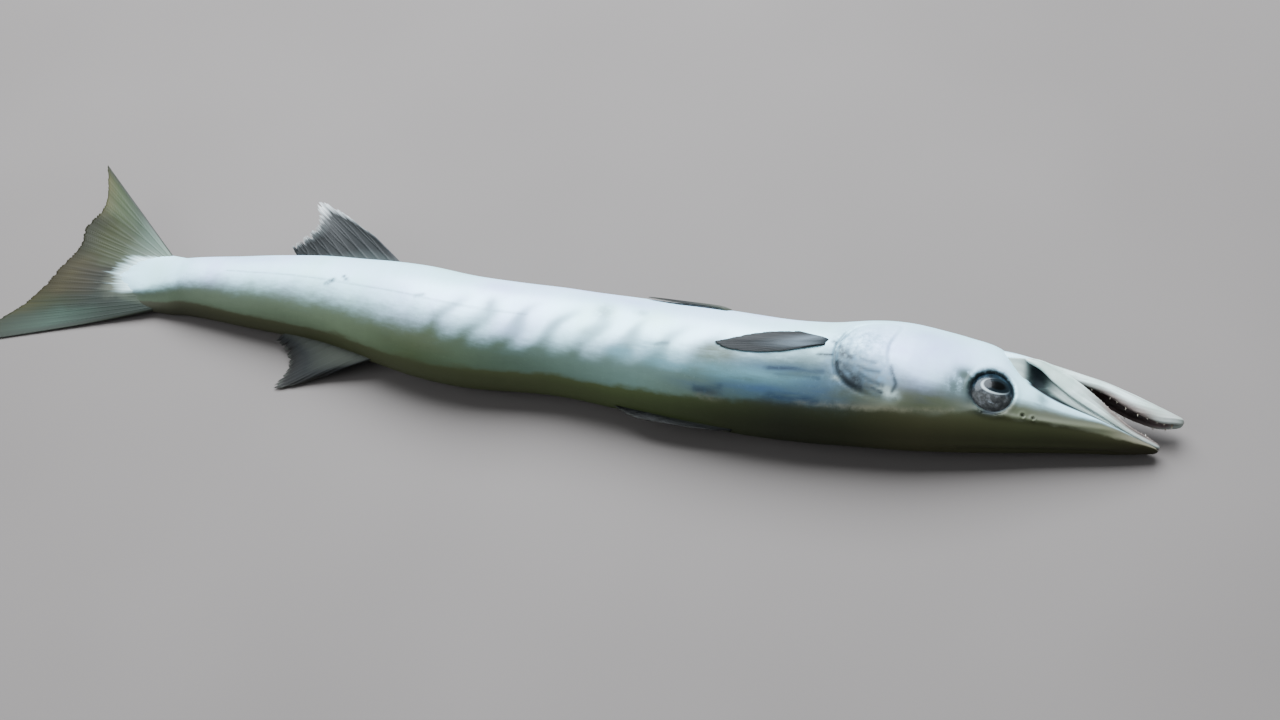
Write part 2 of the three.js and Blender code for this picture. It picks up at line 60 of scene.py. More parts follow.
# The body from the tail's root to the snout
BODY = [
    # x, top, level of the greatest width, bottom, half width, squareness below
    [-466, 9, 0, -9, 0.6, 2], [-456, 17, 0, -17, 1.3, 2], [-444, 23, 0, -23, 2.6, 2],
    [-430, 27, 0, -27, 5.2, 2], [-415, 28, 0, -28, 9.6, 2], [-400, 27.6, 0, -27.6, 14.6, 2],
    [-382, 27.5, 0, -27.5, 19.2, 2], [-310, 34, 0, -34, 25.5, 2], [-230, 41, 0, -41, 32, 2],
    [-150, 48.5, 0, -47.5, 38.5, 2], [-30, 46, 0, -45, 37, 2], [90, 49, 0, -49, 39.5, 2],
    [180, 51, 0, -48, 40.5, 2], [215, 51.5, 1, -51.5, 40.5, 2], [250, 51, 2, -51, 39, 2],
    [290, 46, 4, -46, 33.5, 2.1], [316, 42, 5, -39, 29.5, 2.4], [330, 40, 7, -20, 27, 3.2],
    [345, 37.5, 9, -8, 24.5, 4.5], [363, 35, 11, 0.8, 21.5, 5], [392, 31.5, 14.5, 8.5, 16, 5],
    [417, 28.8, 19.5, 16, 11, 4], [432, 26.8, 22, 20.4, 7, 3], [441, 25.6, 23.9, 23, 3.2, 2],
]
TAIL_ROOT_X, SNOUT_TIP_X = BODY[0][0], BODY[-1][0]
TOP_SQUARE = 2.1  # the back and the crown are hardly squarer than an ellipse

# Gill cover, eye and nostrils, by x and d
COVER_EDGE = [
    # from the crown round the free edge to the throat and back up the cheek
    [243, 26], [224, 25], [208, 19.5], [197, 11], [193, -1],
    [193, -14], [204, -34], [236, -39], [231, -14], [236, 10],
]
COVER_PROUD = 1.2
COVER_STEPS = 241  # points round its drawn edge
COVER_NEAR = (170, 262)  # it is looked for between these
COVER_FAR = -50.0  # how far outside it all else counts as lying
COVER_FREE = (205, 228)  # its edge is free behind these, and only a crease in front of them
EYE_X, EYE_D, EYE_L = 312, 6, 22.5
EYE_RADIUS, EYE_BULGE, EYE_TOE, EYE_OPENING = 17.2, 9.5, 0.16, 16.5
EYE_BED = 0.9  # how far the skin lies under the eyeball's front
NOSTRILS = [[337, 20, 1.7], [345, 20.5, 1.3]]

# The lower jaw, a trough that is longer than the snout
JAW = [
    # x, margin, bottom, half width
    [304, -30, -40, 15], [325, -27, -37.3, 20.5], [345, -24, -34, 20.5], [357, -22, -32, 19.2],
    [372, -19.5, -29.8, 16.8], [395, -14.5, -26, 13.5], [417, -4.8, -20, 11], [438, 1, -12.5, 8.7],
    [452, 0, -7, 6.4], [JAW_TIP_X, -1.4, -4.4, 3.2],
]
JAW_LIP, JAW_WALL, JAW_FLOOR = 1.5, 4.2, 5

# The upper jaw, a strap along each side of the snout, joined across the roof of the mouth
STRAP = [
    # x, top, bottom, half width over both straps
    [333, -25.5, -28, 25.8], [345, -20.5, -28, 25.2], [357, -11.5, -24.8, 23.6], [374, -1.8, -17.2, 20.4],
    [392, 6, -6.2, 17], [402, 10.6, 1, 15], [417, 17, 10.8, 12], [430, 21, 15.8, 8.6], [442, 23, 19.8, 3.4],
]
STRAP_THICK, PALATE_THICK, PALATE_DROP = 3.4, 3.8, 0.8
PALATE_X = (334, 441)


def along(rows, x):
    """A smooth curve through the rows of a table, read at x for each of its other columns."""
    rows = np.array(rows, float)
    x = np.atleast_1d(np.asarray(x, float))
    i = np.clip(np.searchsorted(rows[:, 0], x), 1, len(rows) - 1)
    p, q = rows[i - 1], rows[i]
    before, after = rows[np.maximum(i - 2, 0)], rows[np.minimum(i + 1, len(rows) - 1)]
    span = q[:, :1] - p[:, :1]
    t = np.clip((x[:, None] - p[:, :1]) / span, 0, 1)
    rise = (q - before) / (q[:, :1] - before[:, :1]) * span
    fall = (after - p) / (after[:, :1] - p[:, :1]) * span
    t2, t3 = t * t, t * t * t
    read = (2 * t3 - 3 * t2 + 1) * p + (t3 - 2 * t2 + t) * rise + (3 * t2 - 2 * t3) * q + (t3 - t2) * fall
    return read.T[1:]


def smooth(value, low, high):
    """0 below low, 1 above high and an even slope between them."""
    t = np.clip((value - low) / (high - low), 0, 1)
    return t * t * (3 - 2 * t)


def hump(value, middle, width):
    """1 at the middle, falling away on both sides."""
    return np.exp(-(((value - middle) / width) ** 2))


def between(ends, t):
    """A value that runs from the first end to the second while t goes from 0 to 1."""
    return ends[0] + (ends[1] - ends[0]) * t


def squared(wave, power):
    """A sine or cosine to a power, with its sign kept. A power under 1 makes an oval squarer."""
    return np.sign(wave) * np.abs(wave) ** power


def rounded_ends(u, rear, front):
    """1 along a form, falling to 0 in a round at both ends, over these shares of its length."""
    return np.minimum(np.sqrt(np.clip(u / rear, 0, 1)), np.sqrt(np.clip((1 - u) / front, 0, 1)))


def halves(share):
    """The side, 1 or -1, that a share of the way round lies on, and how far round that half it lies."""
    return np.where(share <= 0.5, 1.0, -1.0), 2 * np.minimum(share, 1 - share)


def rail(points, t, closed=False):
    """Points of an even curve through all the given points, at t from 0 to 1."""
    points = np.array(points, float)
    count = len(points)
    if closed:
        ringed = np.concatenate([points[-1:], points, points[:2]])
    else:
        ringed = np.concatenate([2 * points[:1] - points[1:2], points, 2 * points[-1:] - points[-2:-1]])
    spans = count if closed else count - 1
    at = np.clip(np.asarray(t, float), 0, 1) * spans
    i = np.minimum(at.astype(int), spans - 1)
    w = (at - i)[:, None]
    a, b, c, d = ringed[i], ringed[i + 1], ringed[i + 2], ringed[i + 3]
    gap = [np.sqrt(np.linalg.norm(q - p, axis=1))[:, None] for p, q in ((a, b), (b, c), (c, d))]
    start = ((b - a) / gap[0] - (c - a) / (gap[0] + gap[1]) + (c - b) / gap[1]) * gap[1]
    end = ((c - b) / gap[1] - (d - b) / (gap[1] + gap[2]) + (d - c) / gap[2]) * gap[1]
    return b + start * w + (3 * (c - b) - 2 * start - end) * w**2 + (2 * (b - c) + start + end) * w**3


def middle_height(x):
    """The middle line over the ground: the flank touches it up to the neck, and the head is straight."""
    top, _, _, half, _ = along(BODY, np.clip(x, STALK_X, NECK_X))
    touching = np.hypot(top * math.sin(ROLL), half * math.cos(ROLL)) - PRESSED
    forward = np.maximum(x - NECK_X, 0) / (JAW_TIP_X - NECK_X)
    return touching + (JAW_TIP_HEIGHT - touching) * forward


def lay(points):
    """Points of the fish's own frame laid on the ground, in millimetres from the row's origin."""
    x, l, d = points.T
    (aside,) = along(LIE, x)
    y = aside - d * math.cos(ROLL) - l * math.sin(ROLL)
    z = middle_height(x) - d * math.sin(ROLL) + l * math.cos(ROLL)
    return np.stack([x - ORIGIN[0], y - ORIGIN[1], z], 1)


def round_body(x, angle):
    """(l, d) of the body's surface at an angle from the back, in radians, out over the left flank."""
    top, wide, bottom, half, below = along(BODY, x)
    up, out = np.cos(angle), np.sin(angle)
    power = 2 / np.where(up > 0, TOP_SQUARE, below)
    tall = np.where(up > 0, top - wide, wide - bottom)
    return half * squared(out, power), wide + tall * squared(up, power)


# The angle from the back at even steps round the surface, for even steps along the body
TABLE_X = np.arange(TAIL_ROOT_X, SNOUT_TIP_X + 1, 1.0)
TABLE_STEPS = 90


def even_angles():
    """For each x of the table, the angles that part the left half of the ring evenly, and its length."""
    fine = np.linspace(0, math.pi, 4 * 180 + 1)  # every quarter of a degree
    angles, lengths = [], []
    for x in TABLE_X:
        l, d = round_body(np.full(fine.shape, x), fine)
        run = np.concatenate([[0], np.cumsum(np.hypot(np.diff(l), np.diff(d)))])
        angles.append(np.interp(np.linspace(0, run[-1], TABLE_STEPS + 1), run, fine))
        lengths.append(run[-1])
    return np.array(angles), np.array(lengths)


EVEN_ANGLES, HALF_ROUND = even_angles()


def girth_angle(x, share):
    """The angle from the back at a share of the way round the left half, from the back to the belly."""
    # both are kept a little short of the table's last line
    i = np.clip(x - TAIL_ROOT_X, 0, len(TABLE_X) - 1.001)
    j = np.clip(share, 0, 1) * (TABLE_STEPS - 0.001)
    i0, j0 = i.astype(int), j.astype(int)
    a, b = i - i0, j - j0
    near = EVEN_ANGLES[i0, j0] * (1 - b) + EVEN_ANGLES[i0, j0 + 1] * b
    far = EVEN_ANGLES[i0 + 1, j0] * (1 - b) + EVEN_ANGLES[i0 + 1, j0 + 1] * b
    return near * (1 - a) + far * a


def oval(x, angle):
    """The body's half width, how tall it is from its widest level to its edge, and that level."""
    top, wide, bottom, half, _ = along(BODY, x)
    return half, np.where(angle < math.pi / 2, top - wide, wide - bottom), wide


def way_out(x, angle):
    """(l, d) of the way out of the body at an angle from the back, over the left flank."""
    half, tall, _ = oval(x, angle)
    out = np.stack([np.sin(angle) / half, np.cos(angle) / tall])
    return out / np.hypot(*out)


def on_body(x, round_share, lift=0.0):
    """Points lifted off the body at a share of the way round: back, left flank, belly and right flank."""
    side, way = halves(round_share)
    angle = girth_angle(x, way)
    l, d = round_body(x, angle)
    out_l, out_d = way_out(x, angle)
    return np.stack([x, side * (l + lift * out_l), d + lift * out_d], 1)


def turn_of(points):
    """How far round from the back a point lies: 0 at the back, 1 at the belly, alike on both sides."""
    top, wide, bottom, _, _ = along(BODY, points[:, 0])
    rise = points[:, 2] - wide
    level = rise / np.where(rise > 0, top - wide, wide - bottom)
    return np.arccos(np.clip(level, -1, 1)) / math.pi


# Making pieces

SIDES = ((1, "left"), (-1, "right"))


def clear_selection():
    """Leaves edit mode with nothing selected."""
    if bpy.context.object and bpy.context.object.mode != "OBJECT":
        bpy.ops.object.mode_set(mode="OBJECT")
    bpy.ops.object.select_all(action="DESELECT")


def points_of(piece):
    """The vertices of a piece as rows of three."""
    flat = np.zeros(len(piece.data.vertices) * 3, np.float32)
    piece.data.vertices.foreach_get("co", flat)
    return flat.reshape(-1, 3).astype(float)


def move_points(piece, points):
    """Moves every vertex of a piece to its new place."""
    piece.data.vertices.foreach_set("co", points.astype(np.float32).ravel())
    piece.data.update()


def weld(piece, gap=0.001, outwards=True):
    """Merges the points that meet, so that seams and poles are closed, and faces everything outwards."""
    clear_selection()
    bpy.context.view_layer.objects.active = piece
    piece.select_set(True)
    bpy.ops.object.mode_set(mode="EDIT")
    bpy.ops.mesh.select_all(action="SELECT")
    bpy.ops.mesh.remove_doubles(threshold=gap)
    if outwards:
        bpy.ops.mesh.normals_make_consistent(inside=False)
    bpy.ops.object.mode_set(mode="OBJECT")


def shaped_grid(name, steps, place, marks=None):
    """A grid with every point moved to place(u, v), where u and v go from 0 to 1, and what meets merged.
    For a closed sheet, marks gives masks by how far across and along it a point lies."""
    clear_selection()
    bpy.ops.mesh.primitive_grid_add(x_subdivisions=steps[0], y_subdivisions=steps[1], size=1)
    piece = bpy.context.object
    piece.name = name
    piece.data.name = name
    flat = points_of(piece)
    u, v = np.round(flat[:, 0] + 0.5, 6), np.round(flat[:, 1] + 0.5, 6)
    move_points(piece, place(u, v))
    if marks:
        for mask, values in marks(halves(v)[1], u).items():
            give(piece, mask, values)
    weld(piece)
    return piece


def both_faces(place):
    """Points of a closed sheet: one face as v goes to a half, and the other on the way back."""
    def point(u, v):
        face, t = halves(v)
        return place(t, u, face)
    return point


def join(pieces, name):
    """Several pieces as one."""
    clear_selection()
    for piece in pieces:
        piece.select_set(True)
    bpy.context.view_layer.objects.active = pieces[0]
    bpy.ops.object.join()
    pieces[0].name = name
    pieces[0].data.name = name
    return pieces[0]


def give(piece, name, values):
    """Stores a number or a vector for each vertex, for the materials to read."""
    values = np.asarray(values, np.float32)
    kind, field = ("FLOAT_VECTOR", "vector") if values.ndim == 2 else ("FLOAT", "value")
    layer = piece.data.attributes.get(name) or piece.data.attributes.new(name, kind, "POINT")
    layer.data.foreach_set(field, values.ravel())


def finish_piece(piece, material, replaces=()):
    """Lays a piece of the fish on the ground, with its material, slot and smooth shading. It may
    take the place of CAD nodes."""
    own = points_of(piece)
    give(piece, "own", own * MM)
    laid = lay(own)
    laid[:, 2] = (laid[:, 2] + np.hypot(laid[:, 2], GROUND_SOFT)) / 2
    move_points(piece, laid * MM)
    piece.data.materials.clear()
    piece.data.materials.append(material)
    piece.data.polygons.foreach_set("use_smooth", [True] * len(piece.data.polygons))
    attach(piece, "root")
    if replaces:
        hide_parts(*replaces)


# Markings and painted shade, given to each vertex of the skin and the scales as soft masks.
# They are placed by x and by the angle round from the back, in degrees.

BANDS = [
    # x, where the dark back ends, where the white begins
    [-466, 36, 60], [-446, 38, 64], [-430, 42, 76], [-400, 44, 90], [-330, 32, 96], [-250, 28, 92],
    [-200, 27, 88], [-130, 29, 87], [-60, 31, 75], [-10, 31, 80], [35, 33, 84], [70, 38, 84], [100, 44, 99],
    [140, 49, 104], [190, 49, 110], [215, 49, 106], [240, 50, 94], [262, 51, 88], [290, 57, 86],
    [312, 63, 86], [340, 63, 94], [370, 64, 100], [386, 65, 112], [400, 67, 140], [425, 73, 160],
    [441, 82, 165],
]
BAR_SPACING = 31.0
BAR_FIRST = -130.0
BAR_LEVEL = 80  # degrees round from the back where these are measured
BAR_SLANT = 0.45  # how far forwards a bar leans for each degree towards the belly
BAR_NARROW = 1.9  # above 1 a bar is narrower than the gap to the next
BAR_BEGINS, BAR_ENDS = (50, 62), (86, 122)  # degrees over which bars come in and fade out
BAR_STRENGTHS = [0.8, 0.8, 0.95, 1.0, 0.8, 1.0, 0.85, 0.5]
SPOTS = {
    # x, angle, length along, degrees across, strength
    "blue": [[152, 57, 46, 7, 1.0], [180, 62, 22, 10, 0.7], [98, 52, 26, 6, 0.5], [150, 80, 34, 5, 0.5]],
    "teal": [
        [128, 72, 46, 9, 0.9], [66, 72, 26, 9, 0.8], [24, 72, 14, 8, 0.7], [46, 81, 12, 8, 0.8],
        [226, 96, 5, 5, 0.3],
    ],
    # the olive spot at x 100, beside the pectoral fin's tip, is the fin's painted shadow; the rest are olive
    # tints
    "olive": [
        [266, 62, 26, 9, 0.9], [207, 60, 26, 6, 0.9], [336, 72, 8, 9, 0.8], [100, 87, 15, 8, 1.0],
        [-150, 50, 30, 10, 0.4],
    ],
    "beige": [[98, 44, 9, 4, 0.5]],
    "pearl": [
        [202, 94, 15, 26, 1.0], [222, 80, 17, 14, 0.9], [214, 112, 17, 13, 0.9], [196, 113, 10, 10, 0.9],
    ],
    "lavender": [[255, 112, 34, 26, 1.0], [-340, 138, 50, 16, 0.6], [30, 134, 60, 14, 0.4]],
    # painted shade round the eye, strongest behind it
    "halo": [
        [284, 84, 9, 13, 0.75], [294, 86, 8, 15, 1.0], [291, 97, 9, 8, 0.95], [350, 112, 4.5, 22, 0.4],
    ],
    # dark marks; those by the gill cover's free edge and at the eye's rim are painted shade in creases
    "ink": [
        [210, 73, 6.5, 7, 1.0], [202, 84, 7, 7, 0.6], [198, 97, 5, 6, 0.65], [218, 70, 6, 4, 0.5],
        [297, 82, 3, 9, 0.9], [312, 61, 7, 3, 0.85], [2, 112, 8, 11, 0.35], [33, 118, 6, 5, 0.22],
        [-92, 102, 5, 9, 0.25], [100, 48, 11, 4, 0.4], [347, 91, 5, 2.5, 0.2],
    ],
    "paler": [[238, 64, 5, 4, 0.9], [233, 68, 6, 3, 0.5], [197, 75, 4, 2, 0.5]],
}
STREAKS = {
    # points by x and angle, half width in millimetres, strength
    # dark lines; those along the gill cover's free edge and its creases are painted shade
    "ink": [
        ([[193.5, 89], [196, 83], [200, 77], [206, 71], [215, 68]], 2.6, 0.9),
        ([[215, 69], [224, 68], [231, 65]], 1.5, 0.7),
        ([[195, 90], [202, 84], [209, 77]], 1.6, 0.7),
        ([[195, 101], [198, 96], [204, 94]], 2.2, 0.75),
        ([[189, 111], [193, 107], [196, 103]], 1.7, 0.55),
        ([[179.5, 96], [184, 95.5], [189, 96]], 1.0, 0.85),
        ([[239, 67], [241, 74], [238, 82], [235, 90]], 1.5, 0.6),
        ([[212, 80], [220, 75], [231, 71]], 1.7, 0.55),
        ([[210, 87], [217, 84], [227, 83]], 1.3, 0.4),
        ([[206, 99], [214, 93], [224, 91]], 1.2, 0.3),
        ([[-243, 93], [-238, 99]], 2.0, 0.75),
        ([[-230, 107], [-225, 101]], 1.3, 0.6),
        ([[-156, 96], [-149, 99]], 1.8, 0.35),
        ([[60, 88], [54, 87], [50, 84]], 1.6, 0.3),
        ([[-345, 104], [-250, 98], [-150, 96], [-60, 95]], 0.9, 0.2),
    ],
    # painted shade along the eye's edge
    "halo": [([[284, 92], [292, 98], [300, 102], [312, 104], [323, 101]], 2.2, 0.6)],
    "navy": [
        ([[146, 53], [165, 54], [183, 52]], 2.4, 0.9),
        ([[142, 79], [160, 80], [173, 78], [185, 79]], 1.5, 0.9),
        ([[150, 74], [168, 75], [183, 73]], 1.0, 0.5),
        ([[88, 49], [97, 51], [108, 55]], 2.2, 0.6),
    ],
    "beige": [([[168, 50], [182, 50], [215, 49], [248, 51], [285, 58]], 2.0, 0.4)],
}
MARKS = sorted({*SPOTS, *STREAKS})
DEGREE = 0.75  # millimetres round the body for a degree, where it is deepest


def bands_at(x, degrees):
    """0 along the middle of the back, 1 where the dark ends, 2 where the white begins, 3 along the belly."""
    dark, white = along(BANDS, x)
    flank = 1 + (degrees - dark) / (white - dark)
    belly = 2 + (degrees - white) / (180 - white)
    return np.where(degrees < dark, degrees / dark, np.where(degrees < white, flank, belly))


def bars_at(x, degrees):
    """How dark a bar of the flank is. Bars lean forwards to the belly, and no two are alike."""
    uneven = 2.4 * np.sin(x / 17 + degrees / 9) + 1.6 * np.sin(x / 7.3 - degrees / 6)
    at = (x - BAR_SLANT * (degrees - BAR_LEVEL) - BAR_FIRST + uneven) / BAR_SPACING
    strength = np.interp(at, range(-1, len(BAR_STRENGTHS) + 1), [0, *BAR_STRENGTHS, 0])
    wave = (0.5 + 0.5 * np.cos(2 * math.pi * at)) ** BAR_NARROW
    return wave * strength * smooth(degrees, *BAR_BEGINS) * (1 - smooth(degrees, *BAR_ENDS))


STALK_END = (-482, -438)  # the body's skin runs out over the tail's rays between these


def covered_at(x, d):
    """How far the body's skin covers the tail's rays. It reaches furthest out along the middle."""
    return smooth(x - 0.5 * np.abs(d + 4), *STALK_END)


def off_line(x, y, line):
    """How far points lie from a line drawn through the given points."""
    apart = np.full(x.shape, 1e9)
    for (x0, y0), (x1, y1) in zip(line, line[1:]):
        run = (x1 - x0) ** 2 + (y1 - y0) ** 2
        t = np.clip(((x - x0) * (x1 - x0) + (y - y0) * (y1 - y0)) / run, 0, 1)
        apart = np.minimum(apart, np.hypot(x - x0 - t * (x1 - x0), y - y0 - t * (y1 - y0)))
    return apart


def give_markings(piece, points, extra=None):
    """Gives a piece its masks. extra holds masks that are stronger on this piece."""
    x, degrees = points[:, 0], 180 * turn_of(points)
    give(piece, "band", bands_at(x, degrees))
    give(piece, "bar", bars_at(x, degrees))
    give(piece, "root", 1 - covered_at(x, points[:, 2]))
    for name in MARKS:
        total = (extra or {}).get(name, np.zeros(len(x)))
        for at, angle, length, across, strength in SPOTS.get(name, []):
            off = ((x - at) / length) ** 2 + ((degrees - angle) / across) ** 2
            total = np.maximum(total, strength * np.exp(-off))
        for line, wide, strength in STREAKS.get(name, []):
            drawn = [(at, angle * DEGREE) for at, angle in line]
            total = np.maximum(total, strength * hump(off_line(x, degrees * DEGREE, drawn), 0, wide))
        # a dark mark looks as strong as its mask only if it covers more than the mask says
        give(piece, name, 1 - (1 - np.clip(total, 0, 1)) ** 2)


# The skin

SKIN_STEPS = (520, 180)
TRUNK_SHARE = 0.42  # of the steps along, so that the head is finer
HEAD_FROM = 180
CHEEK_OUT = 10  # the skin beside the eyes lies further out than this
EYE_REACH = 24  # as far from the eye's middle as the skin is shaped for it
EYE_DRAW = (0.1, 2.2)  # points nearer to the opening's edge than this are drawn to it
MIDDLE_TONE = 0.5  # of skin without scales, where the tone of scales goes from 0 to 1


def skin_x(u):
    """Stations along the fish, wide apart on the trunk and close on the head."""
    trunk = between((TAIL_ROOT_X, HEAD_FROM), u / TRUNK_SHARE)
    head = between((HEAD_FROM, SNOUT_TIP_X), (u - TRUNK_SHARE) / (1 - TRUNK_SHARE))
    return np.where(u < TRUNK_SHARE, trunk, head)


def share_along(x):
    """How far along the body x lies, 0 at the tail's root and 1 at the snout's tip."""
    return (x - TAIL_ROOT_X) / (SNOUT_TIP_X - TAIL_ROOT_X)


def cover_depth(x, d):
    """How far inside the gill cover's outline a point of the cheek lies. It is negative outside."""
    depth = np.full(x.shape, COVER_FAR)
    near = (x > COVER_NEAR[0]) & (x < COVER_NEAR[1])
    x, d = x[near], d[near]
    edge = rail(COVER_EDGE, np.linspace(0, 1, COVER_STEPS), closed=True)
    inside = np.zeros(x.shape, bool)
    for (x0, d0), (x1, d1) in zip(edge, edge[1:]):
        if d0 != d1:
            inside ^= ((d0 > d) != (d1 > d)) & (x < x0 + (d - d0) * (x1 - x0) / (d1 - d0))
    apart = off_line(x, d, edge)
    depth[near] = np.where(inside, apart, -apart)
    return depth


def head_relief(x, l, d, angle):
    """How far the skin stands out or lies in on the head, for all but the eye."""
    # the gill cover stands clear along its free edge, with low ribs inside it
    depth = cover_depth(x, d)
    rear = 1 - smooth(x, *COVER_FREE)
    lift = COVER_PROUD * smooth(depth, -0.2, 2.6) * (0.35 + 0.65 * rear)
    lift -= (0.25 + 1.0 * rear) * hump(depth, -1.3, 1.3)
    lift += 0.12 * rear * np.sin(depth * 1.1) * smooth(depth, 3, 6) * (1 - smooth(depth, 14, 22))
    # the ridge over the eye and on to the snout, where the dark crown ends
    crest = 23 - 0.07 * np.maximum(x - 325, 0)
    lift += 0.9 * hump(d, crest, 2.2) * smooth(x, 286, 306) * (1 - smooth(x, 395, 425)) * (np.abs(l) > 4)
    # two low ridges along the crown with a groove between them
    crown = smooth(x, 255, 300) * (1 - smooth(x, 400, 430)) * (angle < 0.9)
    lift += 0.7 * crown * hump(np.abs(l), 7.5 - 0.025 * (x - 300), 2.4)
    lift -= 0.8 * crown * hump(l, 0, 3.0)
    # the edge of the bone under the eye, which runs forwards to the mouth
    under = EYE_D - 20 + 0.35 * np.maximum(x - EYE_X, 0)
    lift += 0.45 * hump(d, under, 2.4) * smooth(x, 292, 310) * (1 - smooth(x, 345, 362)) * (angle < 2.4)
    # folds of the throat's membrane
    throat = smooth(x, 205, 225) * (1 - smooth(x, 296, 312)) * smooth(angle, 2.35, 2.6)
    lift += 0.32 * throat * np.cos(2 * math.pi * np.abs(l) / 3.7)
    lift -= 1.3 * throat * hump(l, 0, 1.3)
    # each nostril is a pit with a raised edge
    for hole_x, hole_d, radius in NOSTRILS:
        reach = np.hypot(x - hole_x, d - hole_d)
        lift += 0.55 * hump(reach, radius + 0.5, 0.6) - 1.7 * (1 - smooth(reach, radius * 0.5, radius + 0.2))
    return lift


def eye_front(x, d):
    """How far out from the middle the front of the eyeball lies."""
    reach = np.hypot(x - EYE_X, d - EYE_D)
    dome = np.sqrt(np.maximum(1 - (reach / EYE_RADIUS) ** 2, 0))
    return EYE_L + EYE_BULGE * dome - EYE_TOE * (x - EYE_X)


def body_relief(x, angle):
    """The slight unevenness of flesh under the skin."""
    slow = np.sin(x / 29 + 1.3 * np.sin(angle * 1.5)) * np.sin(angle * 2.2 + x / 83)
    quick = np.sin(x / 11.5 + 2.1 * angle) * np.sin(angle * 5 - x / 37)
    return (0.45 * slow + 0.14 * quick) * (1 - 0.8 * smooth(x, 200, 260))


def skin_point(u, v):
    """Where a point of the skin lies in the fish's own frame."""
    x = skin_x(u)
    side, way = halves(v)
    angle = girth_angle(x, way)
    _, l, d = on_body(x, v).T
    # points near the eye's opening are drawn to its edge, so that the edge is round
    off_x, off_d = x - EYE_X, d - EYE_D
    reach = np.maximum(np.hypot(off_x, off_d), 1e-6)
    cheek = (np.abs(l) > CHEEK_OUT) & (reach < EYE_REACH)
    kept = smooth(np.abs(reach - EYE_OPENING), *EYE_DRAW)
    drawn = np.where(cheek, EYE_OPENING + (reach - EYE_OPENING) * kept, reach)
    x = np.where(cheek, EYE_X + off_x * drawn / reach, x)
    drawn_d = np.where(cheek, EYE_D + off_d * drawn / reach, d)
    lift = head_relief(x, l, drawn_d, angle) + body_relief(x, angle)
    swell = np.where(cheek, 0.35 * hump(drawn, EYE_OPENING + 3, 1.5), 0)
    ends = smooth(u, 0, 0.01) * (1 - smooth(u, 0.985, 1))
    points = on_body(x, v, lift * ends + swell)
    points[:, 2] = np.where(cheek, points[:, 2] + (drawn_d - d), points[:, 2])
    # round the opening it is level with the eyeball, under the rim, and inside it lies under the eyeball
    bed = eye_front(x, drawn_d) - EYE_BED
    for within, level in ((0.35, bed + 1.1), (-0.05, bed)):
        sunk = cheek & (drawn < EYE_OPENING + within)
        points[:, 1] = np.where(sunk, side * np.minimum(np.abs(points[:, 1]), level), points[:, 1])
    # both ends close to a point
    closing = rounded_ends(u, 0.004, 0.006)
    _, wide, _, _, _ = along(BODY, points[:, 0])
    points[:, 1] *= closing
    points[:, 2] = wide + (points[:, 2] - wide) * closing
    return points


def corners_of(piece):
    """The vertex at each corner of a piece's faces."""
    corners = np.zeros(len(piece.data.loops), np.int32)
    piece.data.loops.foreach_get("vertex_index", corners)
    return corners


def bake_map(piece, uv):
    """The map that the markings are baked through, with a place for each corner of a piece's faces."""
    layer = piece.data.uv_layers.get("OFBake") or piece.data.uv_layers.new(name="OFBake")
    layer.data.foreach_set("uv", uv.astype(np.float32).ravel())


def unwrap_skin(piece, points):
    """Lays the skin's map out along the fish and round it, cut along the back."""
    turn = turn_of(points)
    corners = corners_of(piece)
    starts = np.zeros(len(piece.data.polygons), np.int32)
    piece.data.polygons.foreach_get("loop_start", starts)
    face = np.searchsorted(starts, np.arange(len(corners)), side="right") - 1
    flank = np.bincount(face, points[corners, 1])[face] >= 0
    share = np.where(flank, turn[corners] / 2, 1 - turn[corners] / 2)
    bake_map(piece, np.stack([share_along(points[corners, 0]), share], 1))


def shaded_creases(points):
    """Painted shade under the gill cover's free edge and round the eye, and on the dark roof of the mouth.
    """
    x, d = points[:, 0], points[:, 2]
    degrees = 180 * turn_of(points)
    depth = cover_depth(x, d)
    # painted shade just outside the gill cover's free edge, where it stands clear; a fainter dark line runs
    # inside it
    window = smooth(degrees, 56, 68) * (1 - smooth(degrees, 104, 128)) * (1 - smooth(x, *COVER_FREE))
    edge = window * (0.5 * hump(depth, -1.0, 1.3) + 0.12 * hump(depth, 6.5, 1.0))
    reach = np.hypot(x - EYE_X, d - EYE_D)
    # painted shade, darker behind and below the eye than in front
    rearward = smooth(-(x - EYE_X) - 0.6 * (d - EYE_D), -14, 16)
    socket = (0.3 + 0.55 * rearward) * hump(reach, EYE_OPENING - 0.2, 1.4)
    socket += 0.35 * rearward * hump(reach, EYE_OPENING + 2, 3.0)
    # the head's underside within the mouth, painted nearly black as shade
    lining = smooth(x, 335, 341) * smooth(degrees, 128, 140)
    return {"ink": edge, "halo": socket, "lining": lining}


def make_skin(material):
    """One skin over the head, the gill covers, the trunk and the tail's stalk."""
    skin = shaped_grid("barracuda_skin", SKIN_STEPS, skin_point)
    own = points_of(skin)
    creases = shaded_creases(own)
    give_markings(skin, own, creases)
    give(skin, "lining", creases["lining"])
    give(skin, "scale", np.full(len(own), MIDDLE_TONE))
    give(skin, "edge", np.zeros(len(own)))
    unwrap_skin(skin, own)
    nodes = ["head", "gill_cover_left", "gill_cover_right"]
    nodes += ["trunk_front", "trunk_middle", "trunk_rear", "tail_stalk"]
    finish_piece(skin, material, nodes)


# Scales, thin plates that overlap like tiles from head to tail

